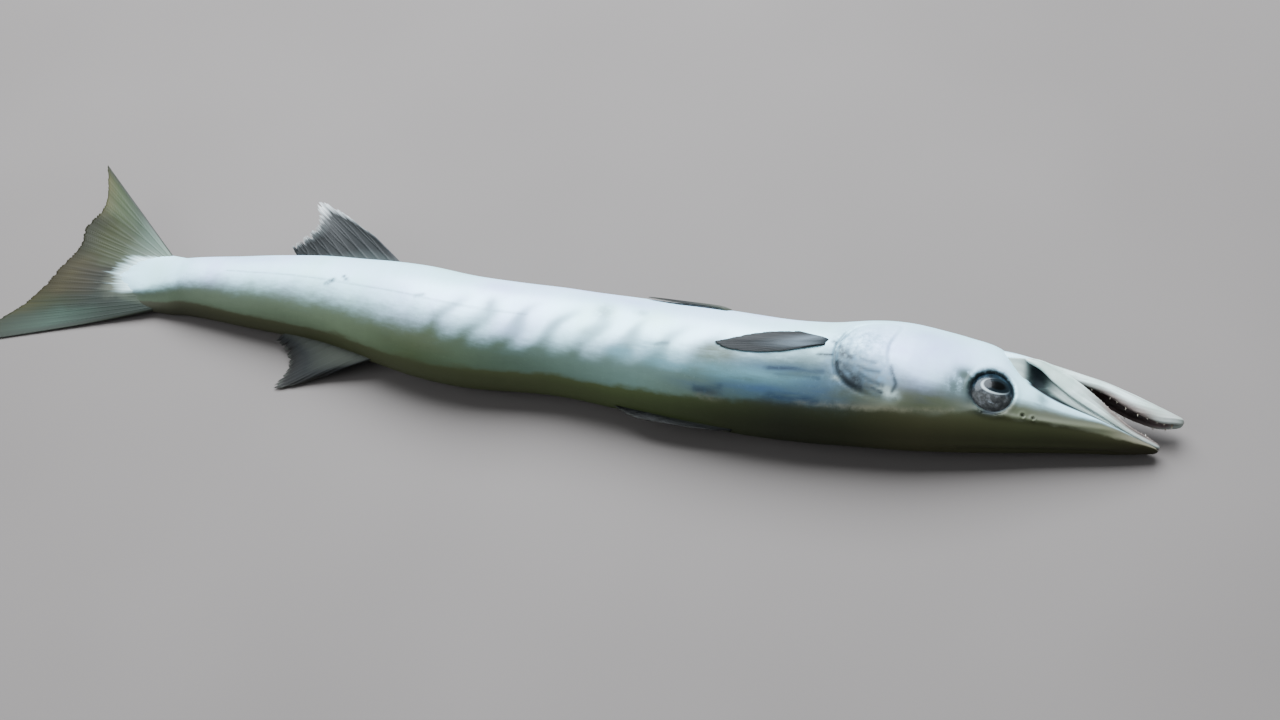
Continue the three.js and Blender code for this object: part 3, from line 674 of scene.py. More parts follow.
SCALE_ROWS = 56  # rows all round the body
SCALE_STEP = 7.4  # from one scale of a row to the next, where the body is deepest
SCALE_LENGTH = 1.55  # against the step, as each lies over the next
SCALE_LIFT = (-0.15, 0.03)  # at the root, under the skin, and at the free edge
SCALE_CROWN = 0.02  # how much lower its sides lie than its middle
SCALE_SIDE = 0.1  # how far its edges turn down into the scales beneath
SCALE_WIDE = 1.02  # against the room that each has in its row
SCALE_FIRST = 8.0  # from the tail's root to the first scales
SCALE_SEED = 5
MAP_PATCH = 0.003  # the size of a scale's own patch in the map that is baked
MAP_EDGE = (0.002, 0.998)  # patches keep within these
SCALED_TO = [
    # degrees round from the back, how far forward the scales reach
    [0, 292], [25, 286], [42, 250], [52, 214], [70, 190], [100, 181], [130, 190], [160, 203], [180, 206],
]


def scale_form():
    """One scale as rows of (back along it, across it, how far its edge is turned down)."""
    backs = [0, 0.32, 0.6, 0.8, 0.89, 0.97]
    turned = [0, 0, 0, 0, 0, 1]
    acrosses = [(-1, 1), (-0.84, 0), (-0.45, 0), (0.45, 0), (0.84, 0), (1, 1)]
    rows = []
    for back, down in zip(backs, turned):
        round_end = math.sqrt(max(1 - (max(back - 0.4, 0) / 0.6) ** 2.2, 0))
        width = (0.78 + 0.22 * min(back / 0.4, 1)) * round_end
        rows += [(back, across * width, max(down, side)) for across, side in acrosses]
    return np.array(rows), len(backs), len(acrosses)


def scale_sites():
    """Where scales sit: x, share of the way round, step along and number of the row."""
    sites = []
    deepest = HALF_ROUND.max()
    x = TAIL_ROOT_X + SCALE_FIRST
    column = 0
    while x < SCALED_TO[0][1]:
        half = np.interp(x, TABLE_X, HALF_ROUND)
        step = SCALE_STEP * (half / deepest) ** 0.6
        for row in range(SCALE_ROWS // 2):
            share = (2 * row + column % 2 + 0.5) / SCALE_ROWS
            sites.append((x, share % 1, step))
        x += step / 2
        column += 1
    sites = np.array(sites)
    turn = girth_angle(sites[:, 0], halves(sites[:, 1])[1])
    front = np.interp(np.degrees(turn), *np.array(SCALED_TO).T)
    return sites[sites[:, 0] < front]


def scale_faces(rows, columns):
    """The faces of one scale, by the numbers of their corners."""
    firsts = [i * columns + j for i in range(rows - 1) for j in range(columns - 1)]
    return np.array([(a, a + 1, a + columns + 1, a + columns) for a in firsts])


def make_scales(material):
    """The scales of the back and those of the belly, each as one piece."""
    form, rows, columns = scale_form()
    back, across, down = form.T
    x, share, step = scale_sites().T
    chance = np.random.default_rng(SCALE_SEED)
    tone = chance.random(len(x))
    length = step * SCALE_LENGTH * (0.96 + 0.08 * chance.random(len(x)))
    at_x = x[:, None] + length[:, None] * (0.35 - back)
    at_round = (share[:, None] + across * SCALE_WIDE / SCALE_ROWS) % 1
    lift = between(SCALE_LIFT, back) - SCALE_CROWN * across**2 - SCALE_SIDE * down
    lift = lift + (0.04 * (tone - 0.5))[:, None] * back
    relief = body_relief(at_x.ravel(), girth_angle(at_x.ravel(), halves(at_round.ravel())[1]))
    points = on_body(at_x.ravel(), at_round.ravel(), lift.ravel() + relief).reshape(len(x), -1, 3)
    faces = scale_faces(rows, columns)
    patch = MAP_PATCH * np.stack([0.5 - back, across / 2], 1)
    upper = halves(share)[1] < 0.5
    for name, picked in (("scales_of_the_back", upper), ("scales_of_the_belly", ~upper)):
        count = picked.sum()
        mine = points[picked].reshape(-1, 3)
        firsts = np.arange(count) * len(form)
        mesh = bpy.data.meshes.new(name)
        mesh.from_pydata(mine.tolist(), [], (faces + firsts[:, None, None]).reshape(-1, 4).tolist())
        piece = bpy.data.objects.new(name, mesh)
        bpy.context.scene.collection.objects.link(piece)
        give_markings(piece, mine)
        give(piece, "lining", np.zeros(len(mine)))
        give(piece, "scale", np.repeat(tone[picked], len(form)))
        give(piece, "edge", np.tile(back, count))
        root = np.clip(np.stack([share_along(x[picked]), share[picked]], 1), *MAP_EDGE)
        place = np.repeat(root, len(form), axis=0) + np.tile(patch, (count, 1))
        bake_map(piece, place[corners_of(piece)])
        finish_piece(piece, material)


# Eyes

EYE_CROWN = 0.9  # how much further the cornea stands out over the pupil
LENS_AT, LENS_SIZE = (0.17, -0.26), 0.45
EYE_SEGMENTS, EYE_RINGS = 64, 40


def make_eye(side, hand, material):
    """The eyeball, flattened as it sits in the head and turned a little forwards."""
    clear_selection()
    bpy.ops.mesh.primitive_uv_sphere_add(segments=EYE_SEGMENTS, ring_count=EYE_RINGS, radius=1)
    eye = bpy.context.object
    eye.name = f"eyeball_{hand}"
    eye.data.name = eye.name
    ball = points_of(eye)
    # the sphere's pole looks out of the head
    off_lens = np.hypot(ball[:, 0] - LENS_AT[0], ball[:, 1] - LENS_AT[1])
    bulge = EYE_BULGE + EYE_CROWN * hump(off_lens, 0, LENS_SIZE)
    x = EYE_X + ball[:, 0] * EYE_RADIUS
    d = EYE_D + ball[:, 1] * EYE_RADIUS
    l = EYE_L + ball[:, 2] * bulge - ball[:, 0] * EYE_RADIUS * EYE_TOE
    give(eye, "gaze", ball)
    move_points(eye, np.stack([x, side * l, d], 1))
    weld(eye)
    finish_piece(eye, material, [f"eye_{hand}"])


RIM_INNER, RIM_OUTER = -1.1, 2.0  # from the edge of the eye's opening
RIM_PROUD, RIM_DEEP, RIM_SUNK = 0.85, 1.2, 0.2
RIM_STEPS = (144, 24)


def skin_level(x, d):
    """How far out of the left flank the skin lies."""
    top, wide, bottom, half, below = along(BODY, x)
    tall = np.where(d > wide, top - wide, wide - bottom)
    power = 2 / np.where(d > wide, TOP_SQUARE, below)
    up = np.clip(np.abs(d - wide) / tall, 0, 1) ** (1 / power)
    angle = np.arccos(np.where(d > wide, up, -up))
    l = half * np.sqrt(1 - up**2) ** power
    return l + head_relief(x, l, d, angle) + body_relief(x, angle)


def rim_place(side):
    """Points of the soft rim round an eye, from the eyeball over a low crest and out on to the skin."""
    def place(u, v):
        way, section = 2 * math.pi * u, 2 * math.pi * v
        share = 0.5 - 0.5 * np.cos(section)
        inner, outer = EYE_OPENING + RIM_INNER, EYE_OPENING + RIM_OUTER
        on_eye = eye_front(EYE_X + inner * np.cos(way), EYE_D + inner * np.sin(way))
        on_skin = skin_level(EYE_X + outer * np.cos(way), EYE_D + outer * np.sin(way))
        rise = np.sin(section) * np.where(section < math.pi, RIM_PROUD, RIM_DEEP) - RIM_SUNK
        reach = inner + (outer - inner) * share
        l = on_eye * (1 - share) + on_skin * share + rise
        return np.stack([EYE_X + reach * np.cos(way), side * l, EYE_D + reach * np.sin(way)], 1)
    return place


def make_eye_rim(side, hand, material):
    """The soft rim round an eye, with painted shade darkest where it meets the eyeball."""
    rim = shaped_grid(f"eye_rim_{hand}", RIM_STEPS, rim_place(side))
    own = points_of(rim)
    extra = shaded_creases(own)
    reach = np.hypot(own[:, 0] - EYE_X, own[:, 2] - EYE_D)
    outwards = smooth(reach, EYE_OPENING + RIM_INNER + 0.3, EYE_OPENING + RIM_OUTER)
    # painted shade in the crease against the eyeball
    extra["ink"] = 0.85 * (1 - outwards) ** 1.5
    extra["halo"] = np.maximum(extra["halo"], 0.6 * (1 - outwards))
    give_markings(rim, own, extra)
    give(rim, "scale", np.full(len(own), MIDDLE_TONE))
    finish_piece(rim, material)


# Jaws

LIP_SHARE = (0.5, 0.66)  # the lip's share of the way from the chin up the outside and down the inside
JAW_SQUARE = 2.2
STRAP_SQUARE = 2.6
PALATE_SQUARE = 4
JAW_STEPS, STRAP_STEPS, PALATE_STEPS = (150, 128), (110, 64), (90, 48)


def jaw_section(x, v):
    """(l, d) round the jaw at x: from the chin up the outside, over the lip and down the inside."""
    margin, bottom, half = along(JAW, x)
    inner = np.maximum(half - JAW_WALL, 0.5)
    hollow = smooth(x, 308, 322) * (1 - smooth(x, 436, 449))
    side, way = halves(v)
    begins, ends = LIP_SHARE
    outer = np.clip(way / begins, 0, 1) * math.pi / 2
    over = np.clip((way - begins) / (ends - begins), 0, 1) * math.pi
    down = np.clip((way - ends) / (1 - ends), 0, 1) * math.pi / 2
    wide = margin - JAW_LIP
    deep = (wide - (bottom + JAW_FLOOR)) * hollow
    power = 2 / JAW_SQUARE
    outside_l, outside_d = half * np.sin(outer) ** power, wide - (wide - bottom) * np.cos(outer) ** power
    lip_l = half - (half - inner) * (0.5 - 0.5 * np.cos(over))
    lip_d = wide + 2 * JAW_LIP * np.sin(over) ** 0.8
    inside_l, inside_d = inner * np.cos(down), wide - deep * np.sin(down) ** 0.8
    part = [way > ends, way > begins]
    l = np.select(part, [inside_l, lip_l], outside_l)
    d = np.select(part, [inside_d, lip_d], outside_d)
    return side * l, d


def jaw_point(u, v):
    """The lower jaw, with fine grooves along its bone and a swollen gum under the lip in front."""
    x = between((JAW[0][0], JAW_TIP_X), u)
    l, d = jaw_section(x, v)
    margin, bottom, half = along(JAW, x)
    middle = (margin + bottom) / 2
    closing = rounded_ends(u, 0.02, 0.012)
    outside = smooth(np.abs(l), 0.3 * half, 0.6 * half)
    relief = 0.14 * np.sin(2 * math.pi * (d - 0.45 * margin) / 3.1 + x / 9) * outside
    relief += 0.5 * hump(d, margin - 2.6, 1.7) * outside * smooth(x, 372, 410)
    return np.stack([x, (l + np.sign(l) * relief) * closing, middle + (d - middle) * closing], 1)


def make_lower_jaw(material):
    """The lower jaw, with masks for its lining, its gum, its aged tip and the white of the throat."""
    jaw = shaped_grid("lower_jaw_skin", JAW_STEPS, jaw_point)
    own = points_of(jaw)
    x, l, d = own.T
    margin, bottom, half = along(JAW, x)
    within = 1 - smooth(np.abs(l), half - JAW_WALL, half - JAW_WALL * 0.45)
    above_floor = smooth(d, bottom + 2, bottom + 4)
    give(jaw, "lining", within * above_floor * smooth(x, 310, 316) * (1 - smooth(x, 444, 454)))
    # the gum is a band under the lip, deep in front and narrow at the back
    gum = np.interp(x, [374, 405, 440, 452], [1.2, 4.8, 9.5, 10.5])
    gummed = smooth(x, 350, 400) * (1 - 0.8 * smooth(x, 426, 446))
    give(jaw, "gum", smooth(d, margin + 0.5 - gum, margin + 0.8) ** 0.35 * gummed)
    give(jaw, "tip", smooth(x, 408, 450))
    give(jaw, "throat", 1 - smooth(x, 320, 356))
    finish_piece(jaw, material, ["lower_jaw"])


def strap_point(u, v, side):
    """One strap of the upper jaw, a leaf of bone that is narrow in front."""
    x = between((STRAP[0][0], STRAP[-1][0]), u)
    top, bottom, half = along(STRAP, x)
    angle = 2 * math.pi * v
    out = np.sin(angle)
    middle, tall = (top + bottom) / 2, (top - bottom) / 2
    level = squared(np.cos(angle), 2 / STRAP_SQUARE)
    thick = STRAP_THICK / 2 * squared(out, 2 / STRAP_SQUARE)
    # long grooves part the bones that make the strap, and its edge over the teeth is thicker
    front = smooth(u, 0.3, 0.5) * (1 - smooth(u, 0.86, 0.95))
    groove = 0.7 * hump(level, 0.5 - 0.55 * u, 0.13) * front
    groove = groove + 0.5 * hump(level, -0.05 - 0.3 * u, 0.1) * front * smooth(u, 0.4, 0.55)
    ridge = 0.5 * hump(level, -0.75, 0.25)
    outer = np.where(out > 0, thick - groove + ridge, thick)
    closing = rounded_ends(u, 0.03, 0.02)
    l = half - STRAP_THICK / 2 + outer * closing
    return np.stack([x, side * l, middle + tall * level * closing], 1)


def palate_point(u, v):
    """The roof of the mouth between the straps, vaulted beneath."""
    x = between(PALATE_X, u)
    top, _, half = along(STRAP, x)
    up, out = np.cos(2 * math.pi * v), np.sin(2 * math.pi * v)
    middle = top - PALATE_DROP - PALATE_THICK / 2
    l = (half - STRAP_THICK / 2) * squared(out, 2 / PALATE_SQUARE)
    vault = 1.6 * (1 - (l / np.maximum(half, 1)) ** 2)
    rise = PALATE_THICK / 2 * squared(up, 2 / PALATE_SQUARE) + np.where(up < 0, vault, 0)
    closing = rounded_ends(u, 0.03, 0.02)
    return np.stack([x, l * closing, middle + rise * closing], 1)


# The skin that is drawn in between the snout and the strap when the mouth opens
FOLD_X = (318, 416)
FOLD_THICK = 0.8
FOLD_STEPS = (75, 48)
PIT_X, PIT_LONG, PIT_DEEP = 344, 9, 6


def fold_place(side):
    """Points of the fold on one side, hollow between its edges and deepest in a pit behind."""
    def place(t, s, face):
        x = between(FOLD_X, s)
        # behind the strap the fold runs on under the cheek
        held = np.maximum(x, STRAP[0][0])
        _, _, bottom, snout, _ = along(BODY, held)
        top, _, half = along(STRAP, held)
        hollow = (1.2 + PIT_DEEP * hump(x, PIT_X, PIT_LONG)) * (1 - smooth(x, 385, 404))
        sunk = 0.25 * (held - x) + np.sin(math.pi * t) * hollow
        edges = snout * 0.86, half - STRAP_THICK * 0.75
        l = between(edges, t) - sunk + face * FOLD_THICK / 2
        wrinkle = 0.25 * np.sin(2 * math.pi * t * 2.5 + x / 6) * np.sin(math.pi * t)
        start = bottom + 2.6 + 5 * (1 - smooth(x, 336, 352))
        return np.stack([x, side * (l + wrinkle), between((start, top - 2.4), t)], 1)
    return place


def fold_marks(t, s):
    """Painted shade where the fold is dark, in its pit and creases, and painted light towards the strap."""
    x = between(FOLD_X, s)
    # painted shade in the pit and the creases
    pit = hump(x, PIT_X, PIT_LONG) * smooth(t, 0.05, 0.3)
    crease = 0.9 * hump(t, 0.08, 0.13) + 0.4 * hump(t, 1, 0.12)
    # painted light towards the strap, which shades the fold; the rear end is pale too
    pale = np.maximum(smooth(t, 0.15, 0.5) * smooth(x, 348, 366), 0.75 * (1 - smooth(x, 332, 340)))
    crease = crease * (1 - smooth(x, 388, 402))
    return {"dark": np.maximum(pit, crease * smooth(x, 340, 350) * (1 - pale)), "pale": pale}


def make_upper_jaw(material, lining, fold):
    """The straps as one piece, the roof of the mouth, and the fold on each side."""
    straps = [
        shaped_grid(f"strap_{hand}", STRAP_STEPS, lambda u, v, side=side: strap_point(u, v, side))
        for side, hand in SIDES
    ]
    jaw = join(straps, "upper_jaw_bones")
    x, l, d = points_of(jaw).T
    top, bottom, half = along(STRAP, x)
    give(jaw, "lining", (np.abs(l) < half - STRAP_THICK * 0.7) * 1.0)
    level = (d - bottom) / np.maximum(top - bottom, 1)
    give(jaw, "gum", (1 - smooth(level, 0.2, 0.75)) * smooth(x, 368, 402))
    give(jaw, "tip", smooth(x, 390, 407))
    finish_piece(jaw, material, ["upper_jaw"])
    palate = shaped_grid("roof_of_the_mouth", PALATE_STEPS, palate_point)
    finish_piece(palate, lining)
    for side, hand in SIDES:
        piece = shaped_grid(f"mouth_fold_{hand}", FOLD_STEPS, both_faces(fold_place(side)), fold_marks)
        finish_piece(piece, fold)


# Teeth, each a flattened and slightly curved cone with its root sunk in the jaw

ROOT_SUNK = 1.3
TOOTH_FLAT = 0.6
TOOTH_RINGS = (0.3, 0.6, 0.85)
TOOTH_SEED = 11
TOOTH_ROWS = {
    # first and last x, count on each side, height from back to front, half width, inset from the outside
    "lower": {"x": (362, 444), "count": 12, "height": (1.5, 2.7), "radius": 0.75, "inset": 2.4},
    "rim": {"x": (356, 434), "count": 24, "height": (0.9, 1.3), "radius": 0.42, "inset": 1.7},
    "palate": {"x": (374, 412), "count": 6, "height": (2.6, 4.4), "radius": 1.0, "inset": 6},
    "fangs": {"x": (422, 430), "count": 2, "height": (4.8, 4.4), "radius": 1.05, "inset": 3.2},
}
JAW_FANG = {"x": 449, "l": 1.4, "height": 3.8, "radius": 1.1}


def tooth_form():
    """One tooth, a unit high and a unit in half width, as a cone drawn to a point through four rings."""
    clear_selection()
    bpy.ops.mesh.primitive_cone_add(vertices=10, radius1=1, radius2=0, depth=1, location=(0, 0, 0.5))
    form = bpy.context.object
    form.data.transform(form.matrix_world)
    form.matrix_world = Matrix.Identity(4)
    bpy.ops.object.mode_set(mode="EDIT")
    for height in TOOTH_RINGS:
        bpy.ops.mesh.select_all(action="SELECT")
        bpy.ops.mesh.bisect(plane_co=(0, 0, height), plane_no=(0, 0, 1))
    bpy.ops.object.mode_set(mode="OBJECT")
    points = points_of(form)
    swell = 1 + 0.35 * np.sin(np.clip(points[:, 2], 0, 1) * math.pi)
    points[:, :2] *= swell[:, None]
    points[:, 0] -= 0.35 * points[:, 2] ** 2  # the tip leans back
    move_points(form, points)
    return form


def set_tooth(form, x, level, l, height, radius):
    """A copy of the tooth in its place. It points up if its height is above 0, and down if not."""
    tooth = form.copy()
    tooth.data = form.data.copy()
    bpy.context.scene.collection.objects.link(tooth)
    points = points_of(tooth)
    rise = points[:, 2] * (abs(height) + ROOT_SUNK) - ROOT_SUNK
    d = level + rise * math.copysign(1, height)
    move_points(tooth, np.stack([x + points[:, 0] * radius, l + points[:, 1] * radius * TOOTH_FLAT, d], 1))
    give(tooth, "height", points[:, 2])
    return tooth


def tooth_row(form, row, down, level_at, half_at, chance):
    """Copies of the tooth along both sides of a jaw."""
    made = []
    for side in (1, -1):
        for i in range(row["count"]):
            t = i / (row["count"] - 1)
            x = between(row["x"], t) + 3 * (chance.random() - 0.5)
            height = between(row["height"], t) * (0.6 + 0.8 * chance.random())
            l = side * (half_at(x) - row["inset"])
            made.append(set_tooth(form, x, level_at(x), l, -height if down else height, row["radius"]))
    return made


def make_teeth(material):
    """The teeth of the upper jaw and of the lower jaw, each as one piece."""
    form = tooth_form()
    chance = np.random.default_rng(TOOTH_SEED)

    def strap(column):
        return lambda x: float(along(STRAP, x)[column][0])

    def jaw(column):
        return lambda x: float(along(JAW, x)[column][0])

    def palate(x):
        return strap(0)(x) - PALATE_DROP - PALATE_THICK + 1.2

    def lip(x):
        return jaw(0)(x) + JAW_LIP - 0.6

    upper = tooth_row(form, TOOTH_ROWS["rim"], True, strap(1), strap(2), chance)
    upper += tooth_row(form, TOOTH_ROWS["palate"], True, palate, strap(2), chance)
    upper += tooth_row(form, TOOTH_ROWS["fangs"], True, palate, strap(2), chance)
    lower = tooth_row(form, TOOTH_ROWS["lower"], False, lip, jaw(2), chance)
    fang = JAW_FANG
    lower.append(set_tooth(form, fang["x"], lip(fang["x"]), fang["l"], fang["height"], fang["radius"]))
    bpy.data.objects.remove(form)
    for name, teeth in (("teeth_of_the_upper_jaw", upper), ("teeth_of_the_lower_jaw", lower)):
        row = join(teeth, name)
        weld(row)
        finish_piece(row, material)


# Fins

# How thick a fin is at its edge and how much thicker on a ray, how far the rays' ends stand out of the
# membrane, how far the fin's edge leans out to the left, and that its rays branch
SOFT_RAYS = {"edge": 0.5, "ridge": 0.5, "fringe": 2, "lean": 0, "branch": True}
SPINES = {"edge": 0.7, "ridge": 0.9, "fringe": 1.5, "lean": 0, "branch": False}
MEDIAN_FINS = {
    # root and tip by x and d, from the leading edge to the trailing edge. The tail goes from lobe to lobe.
    "spiny_fin_of_the_back": {
        "root": [[120, 46.5], [80, 45], [46, 43]],
        "tip": [[117, 51.5], [72, 54.5], [37, 54], [18, 48]],
        **SPINES, "rays": 5, "thick": 3.2,
        "replaces": ["first_dorsal_fin"],
    },
    "soft_fin_of_the_back": {
        "root": [[-187, 40.5], [-233, 37], [-279, 33.5]],
        "tip": [[-236, 67], [-278, 87], [-272, 66], [-280, 50], [-292, 42]],
        **SOFT_RAYS, "rays": 10, "thick": 4.5, "lean": -6, "fringe": 5,
        "replaces": ["second_dorsal_fin"],
    },
    "fin_behind_the_vent": {
        "root": [[-184, -41], [-236, -36], [-289, -32]],
        "tip": [[-230, -68], [-290, -91], [-284, -70], [-292, -58], [-302, -45]],
        **SOFT_RAYS, "rays": 10, "thick": 4.5, "lean": 3, "fringe": 8,
        "replaces": ["anal_fin"],
    },
    "tail_fin": {
        "root": [[-411, -24], [-419, -18], [-426, 0], [-419, 18], [-407, 24]],
        "tip": [
            [-513, -111], [-500, -70], [-510, -44], [-508, -26], [-520, 0], [-530, 22],
            [-545, 44], [-560, 62], [-584, 94],
        ],
        **SOFT_RAYS, "rays": 17, "thick": 6.5, "covered": (19, 27),
        "replaces": ["caudal_fin_lower_lobe", "caudal_fin_upper_lobe"],
    },
}
PAIRED_FINS = {
    # root and tip by x and degrees round the body from the back
    "pectoral_rays_left": {
        "side": 1, "root": [[185, 113], [183, 106]],
        "tip": [[160, 121], [134, 115], [106, 101], [97, 96], [106, 92], [128, 91.5], [150, 95]],
        **SOFT_RAYS, "rays": 14, "thick": 2.6, "edge": 0.4, "ridge": 0.4, "lift": 1.5,
        "replaces": ["pectoral_fin_left"],
    },
    "pectoral_rays_right": {
        "side": -1, "root": [[186, 119], [183, 107]],
        "tip": [[104, 122], [92, 113], [114, 106], [146, 104]],
        **SOFT_RAYS, "rays": 14, "thick": 2.4, "lift": 1.8,
        "replaces": ["pectoral_fin_right"],
    },
    "pelvic_rays_left": {
        "side": 1, "root": [[103, 159], [98, 149]], "tip": [[34, 158], [30, 153], [42, 148], [58, 145]],
        **SOFT_RAYS, "rays": 6, "thick": 2.6, "ridge": 0.6, "lift": 2,
        "replaces": ["pelvic_fin_left"],
    },
    "pelvic_rays_right": {
        "side": -1, "root": [[103, 159], [98, 149]], "tip": [[34, 158], [30, 153], [42, 148], [58, 145]],
        **SOFT_RAYS, "rays": 6, "thick": 2.6, "ridge": 0.6, "lift": 2,
        "replaces": ["pelvic_fin_right"],
    },
}
FIN_CLEAR = 1  # over the ground
FIN_SETTLE = 4  # how gently a fin bends where it would touch the ground
RAY_STEPS = 16  # grid steps from one ray to the next
FIN_ROWS = 60


def ray_height(fin, t, s):
    """1 on a ray and 0 between them. Soft rays split in two, and again near the fin's edge."""
    off = t * (fin["rays"] - 1)
    off = np.abs(off - np.round(off))
    if fin["branch"]:
        off = np.abs(off - 0.19 * smooth(s, 0.3, 0.62))
        off = np.abs(off - 0.085 * smooth(s, 0.6, 0.9))
    return np.exp(-((off / (0.13 - 0.07 * s)) ** 2))


def fin_point(fin, t, s):
    """Where a fin's point lies between its root and its tip. The rays' ends stand out of the membrane."""
    root, tip = rail(fin["root"], t), rail(fin["tip"], t)
    span = np.linalg.norm(tip - root, axis=1)
    torn = 0.5 + 0.5 * np.sin(t * 37 + 1.7 * np.sin(t * 83))
    notch = (1 - ray_height(fin, t, np.ones(t.shape))) * (0.35 + 0.65 * torn)
    held = 1 - s**3 * fin["fringe"] * notch / span
    return root + (tip - root) * (s * held)[:, None]


def fin_thickness(fin, t, s):
    """How thick a fin is. It thins out from its root, its rays stand out, and its edges are round."""
    skin = fin["edge"] + (fin["thick"] - fin["edge"]) * (1 - s) ** 2.5
    full = skin + fin["ridge"] * ray_height(fin, t, s) * (1 - 0.5 * s)
    ends = np.sqrt(np.clip(1 - (2 * t - 1) ** 24, 0, 1)) * np.sqrt(np.clip(1 - s**24, 0, 1))
    return full * ends * np.sqrt(np.clip(s / 0.03, 0, 1))


def median_place(fin):
    """Points of a fin of the back, the vent or the tail, bent up where it would touch the ground."""
    def place(t, s, face):
        flat = fin_point(fin, t, s)
        wave = 0.8 * np.sin(t * 9 + s * 4) * s
        out = face * fin_thickness(fin, t, s) / 2
        points = np.stack([flat[:, 0], fin["lean"] * s * s + wave + out, flat[:, 1]], 1)
        over = lay(points)[:, 2] - FIN_CLEAR - out
        raised = (over + np.hypot(over, FIN_SETTLE)) / 2 - over
        points[:, 1] += raised * math.cos(ROLL)
        points[:, 2] -= raised * math.sin(ROLL)
        return points
    return place


def paired_place(fin):
    """Points of a fin that lies back along the body, sunk in at its root and lifted off beyond it."""
    def place(t, s, face):
        flat = fin_point(fin, t, s)
        x, angle = flat[:, 0], np.radians(flat[:, 1])
        half, tall, wide = oval(x, angle)
        out_l, out_d = way_out(x, angle)
        lift = fin["lift"] * (1 - np.exp(-s * 14)) * 2 - fin["lift"] + face * fin_thickness(fin, t, s) / 2
        l = half * np.sin(angle) + lift * out_l
        d = wide + tall * np.cos(angle) + lift * out_d
        return np.stack([x, fin["side"] * l, d], 1)
    return place


def fin_marks(fin):
    """How far across the fin and along its rays a point lies, and how near to a ray. The tail is covered by
    the body's skin at its root, which is white up to a line that rises towards the rays' ends."""
    def marks(t, s):
        masks = {"fin": np.stack([t * (fin["rays"] - 1), s, t], 1), "ray": ray_height(fin, t, s)}
        if "covered" in fin:
            x, d = fin_point(fin, t, s).T
            masks["covered"] = covered_at(x, d) * (1 - smooth(np.abs(d), *fin["covered"]))
            line = np.interp(x, [-451, -441, -425], [14, 12, 5])
            masks["white"] = 1 - smooth(d, line - 4, line + 3)
        return masks
    return marks


def make_fins(materials):
    """Each fin as one closed sheet."""
    for name, fin in {**MEDIAN_FINS, **PAIRED_FINS}.items():
        place = paired_place(fin) if "side" in fin else median_place(fin)
        steps = (FIN_ROWS, 2 * RAY_STEPS * (fin["rays"] - 1))
        piece = shaped_grid(name, steps, both_faces(place), fin_marks(fin))
        finish_piece(piece, materials[name], fin["replaces"])


# Materials

def linear(code):
    """An sRGB hex colour as Blender's linear one."""
    parts = [int(code[i:i + 2], 16) / 255 for i in (1, 3, 5)]
    return [c / 12.92 if c <= 0.04045 else ((c + 0.055) / 1.055) ** 2.4 for c in parts] + [1]


BLEND = {"out": 2, "data_type": "RGBA"}
MULTIPLIED = {**BLEND, "blend_type": "MULTIPLY"}
SOFT_STEP = {"interpolation_type": "SMOOTHSTEP"}
VECTORS = ("own", "gaze", "fin")  # what pieces carry as vectors. All else is a number


def put(tree, kind, inputs, out=0, ramp=None, **settings):
    """Adds a node with its settings, values, links and any ramp of colours, and returns an output."""
    made = tree.nodes.new("ShaderNode" + kind)
    for name, value in settings.items():
        setattr(made, name, value)
    for socket, value in inputs.items():
        if isinstance(value, bpy.types.NodeSocket):
            tree.links.new(value, made.inputs[socket])
        else:
            made.inputs[socket].default_value = value
    if ramp:
        stops = made.color_ramp.elements
        while len(stops) < len(ramp):
            stops.new(0.5)
        for stop, (place, code) in zip(stops, ramp):
            stop.position = place
            stop.color = linear(code)
    return made.outputs[out]


def new_material(name, surface, carried=()):
    """A material with its shader's steady values set, and what it reads of all that its piece carries."""
    material = bpy.data.materials.new(name)
    material.use_nodes = True
    tree = material.node_tree
    shader = tree.nodes["Principled BSDF"]
    for socket, value in surface.items():
        shader.inputs[socket].default_value = value
    read = {}
    for mask in carried:
        output = "Vector" if mask in VECTORS else "Fac"
        read[mask] = put(tree, "Attribute", {}, out=output, attribute_name=mask)
    return material, tree, shader, read


def wear(tree, shader, colour, height=None, strength=0.3, distance=0.0003):
    """Links a colour and a bump to the shader."""
    tree.links.new(colour, shader.inputs["Base Color"])
    if height:
        bump = {"Height": height, "Strength": strength, "Distance": distance}
        bump = put(tree, "Bump", bump, out="Normal")
        tree.links.new(bump, shader.inputs["Normal"])


DARK_ALONG = [
    # x and the colour of the dark back there
    (-458, "#25251d"), (-330, "#353622"), (-60, "#40462b"), (20, "#404a2a"), (70, "#374024"),
    (110, "#2a3019"), (160, "#1f2314"), (205, "#232613"), (262, "#363620"), (340, "#2e311b"),
    (430, "#252312"),
]
MIDDLE_ALONG = [
    # x and the colour of the flank between the dark and the white
    (-455, "#222623"), (-430, "#272f23"), (-330, "#3b4535"), (-200, "#414c38"), (-150, "#36412a"),
    (-60, "#3b4a3e"), (35, "#475a53"), (85, "#3d4b41"), (130, "#2c3c39"), (180, "#313f40"),
    (205, "#323327"), (235, "#4d4f3f"), (262, "#303325"), (285, "#4a4d43"), (340, "#4c4f42"),
    (400, "#484a39"), (440, "#6c6758"),
]


def ramp_along(rows):
    """A table of colours along the fish as the stops of a ramp."""
    return [(share_along(x), code) for x, code in rows]


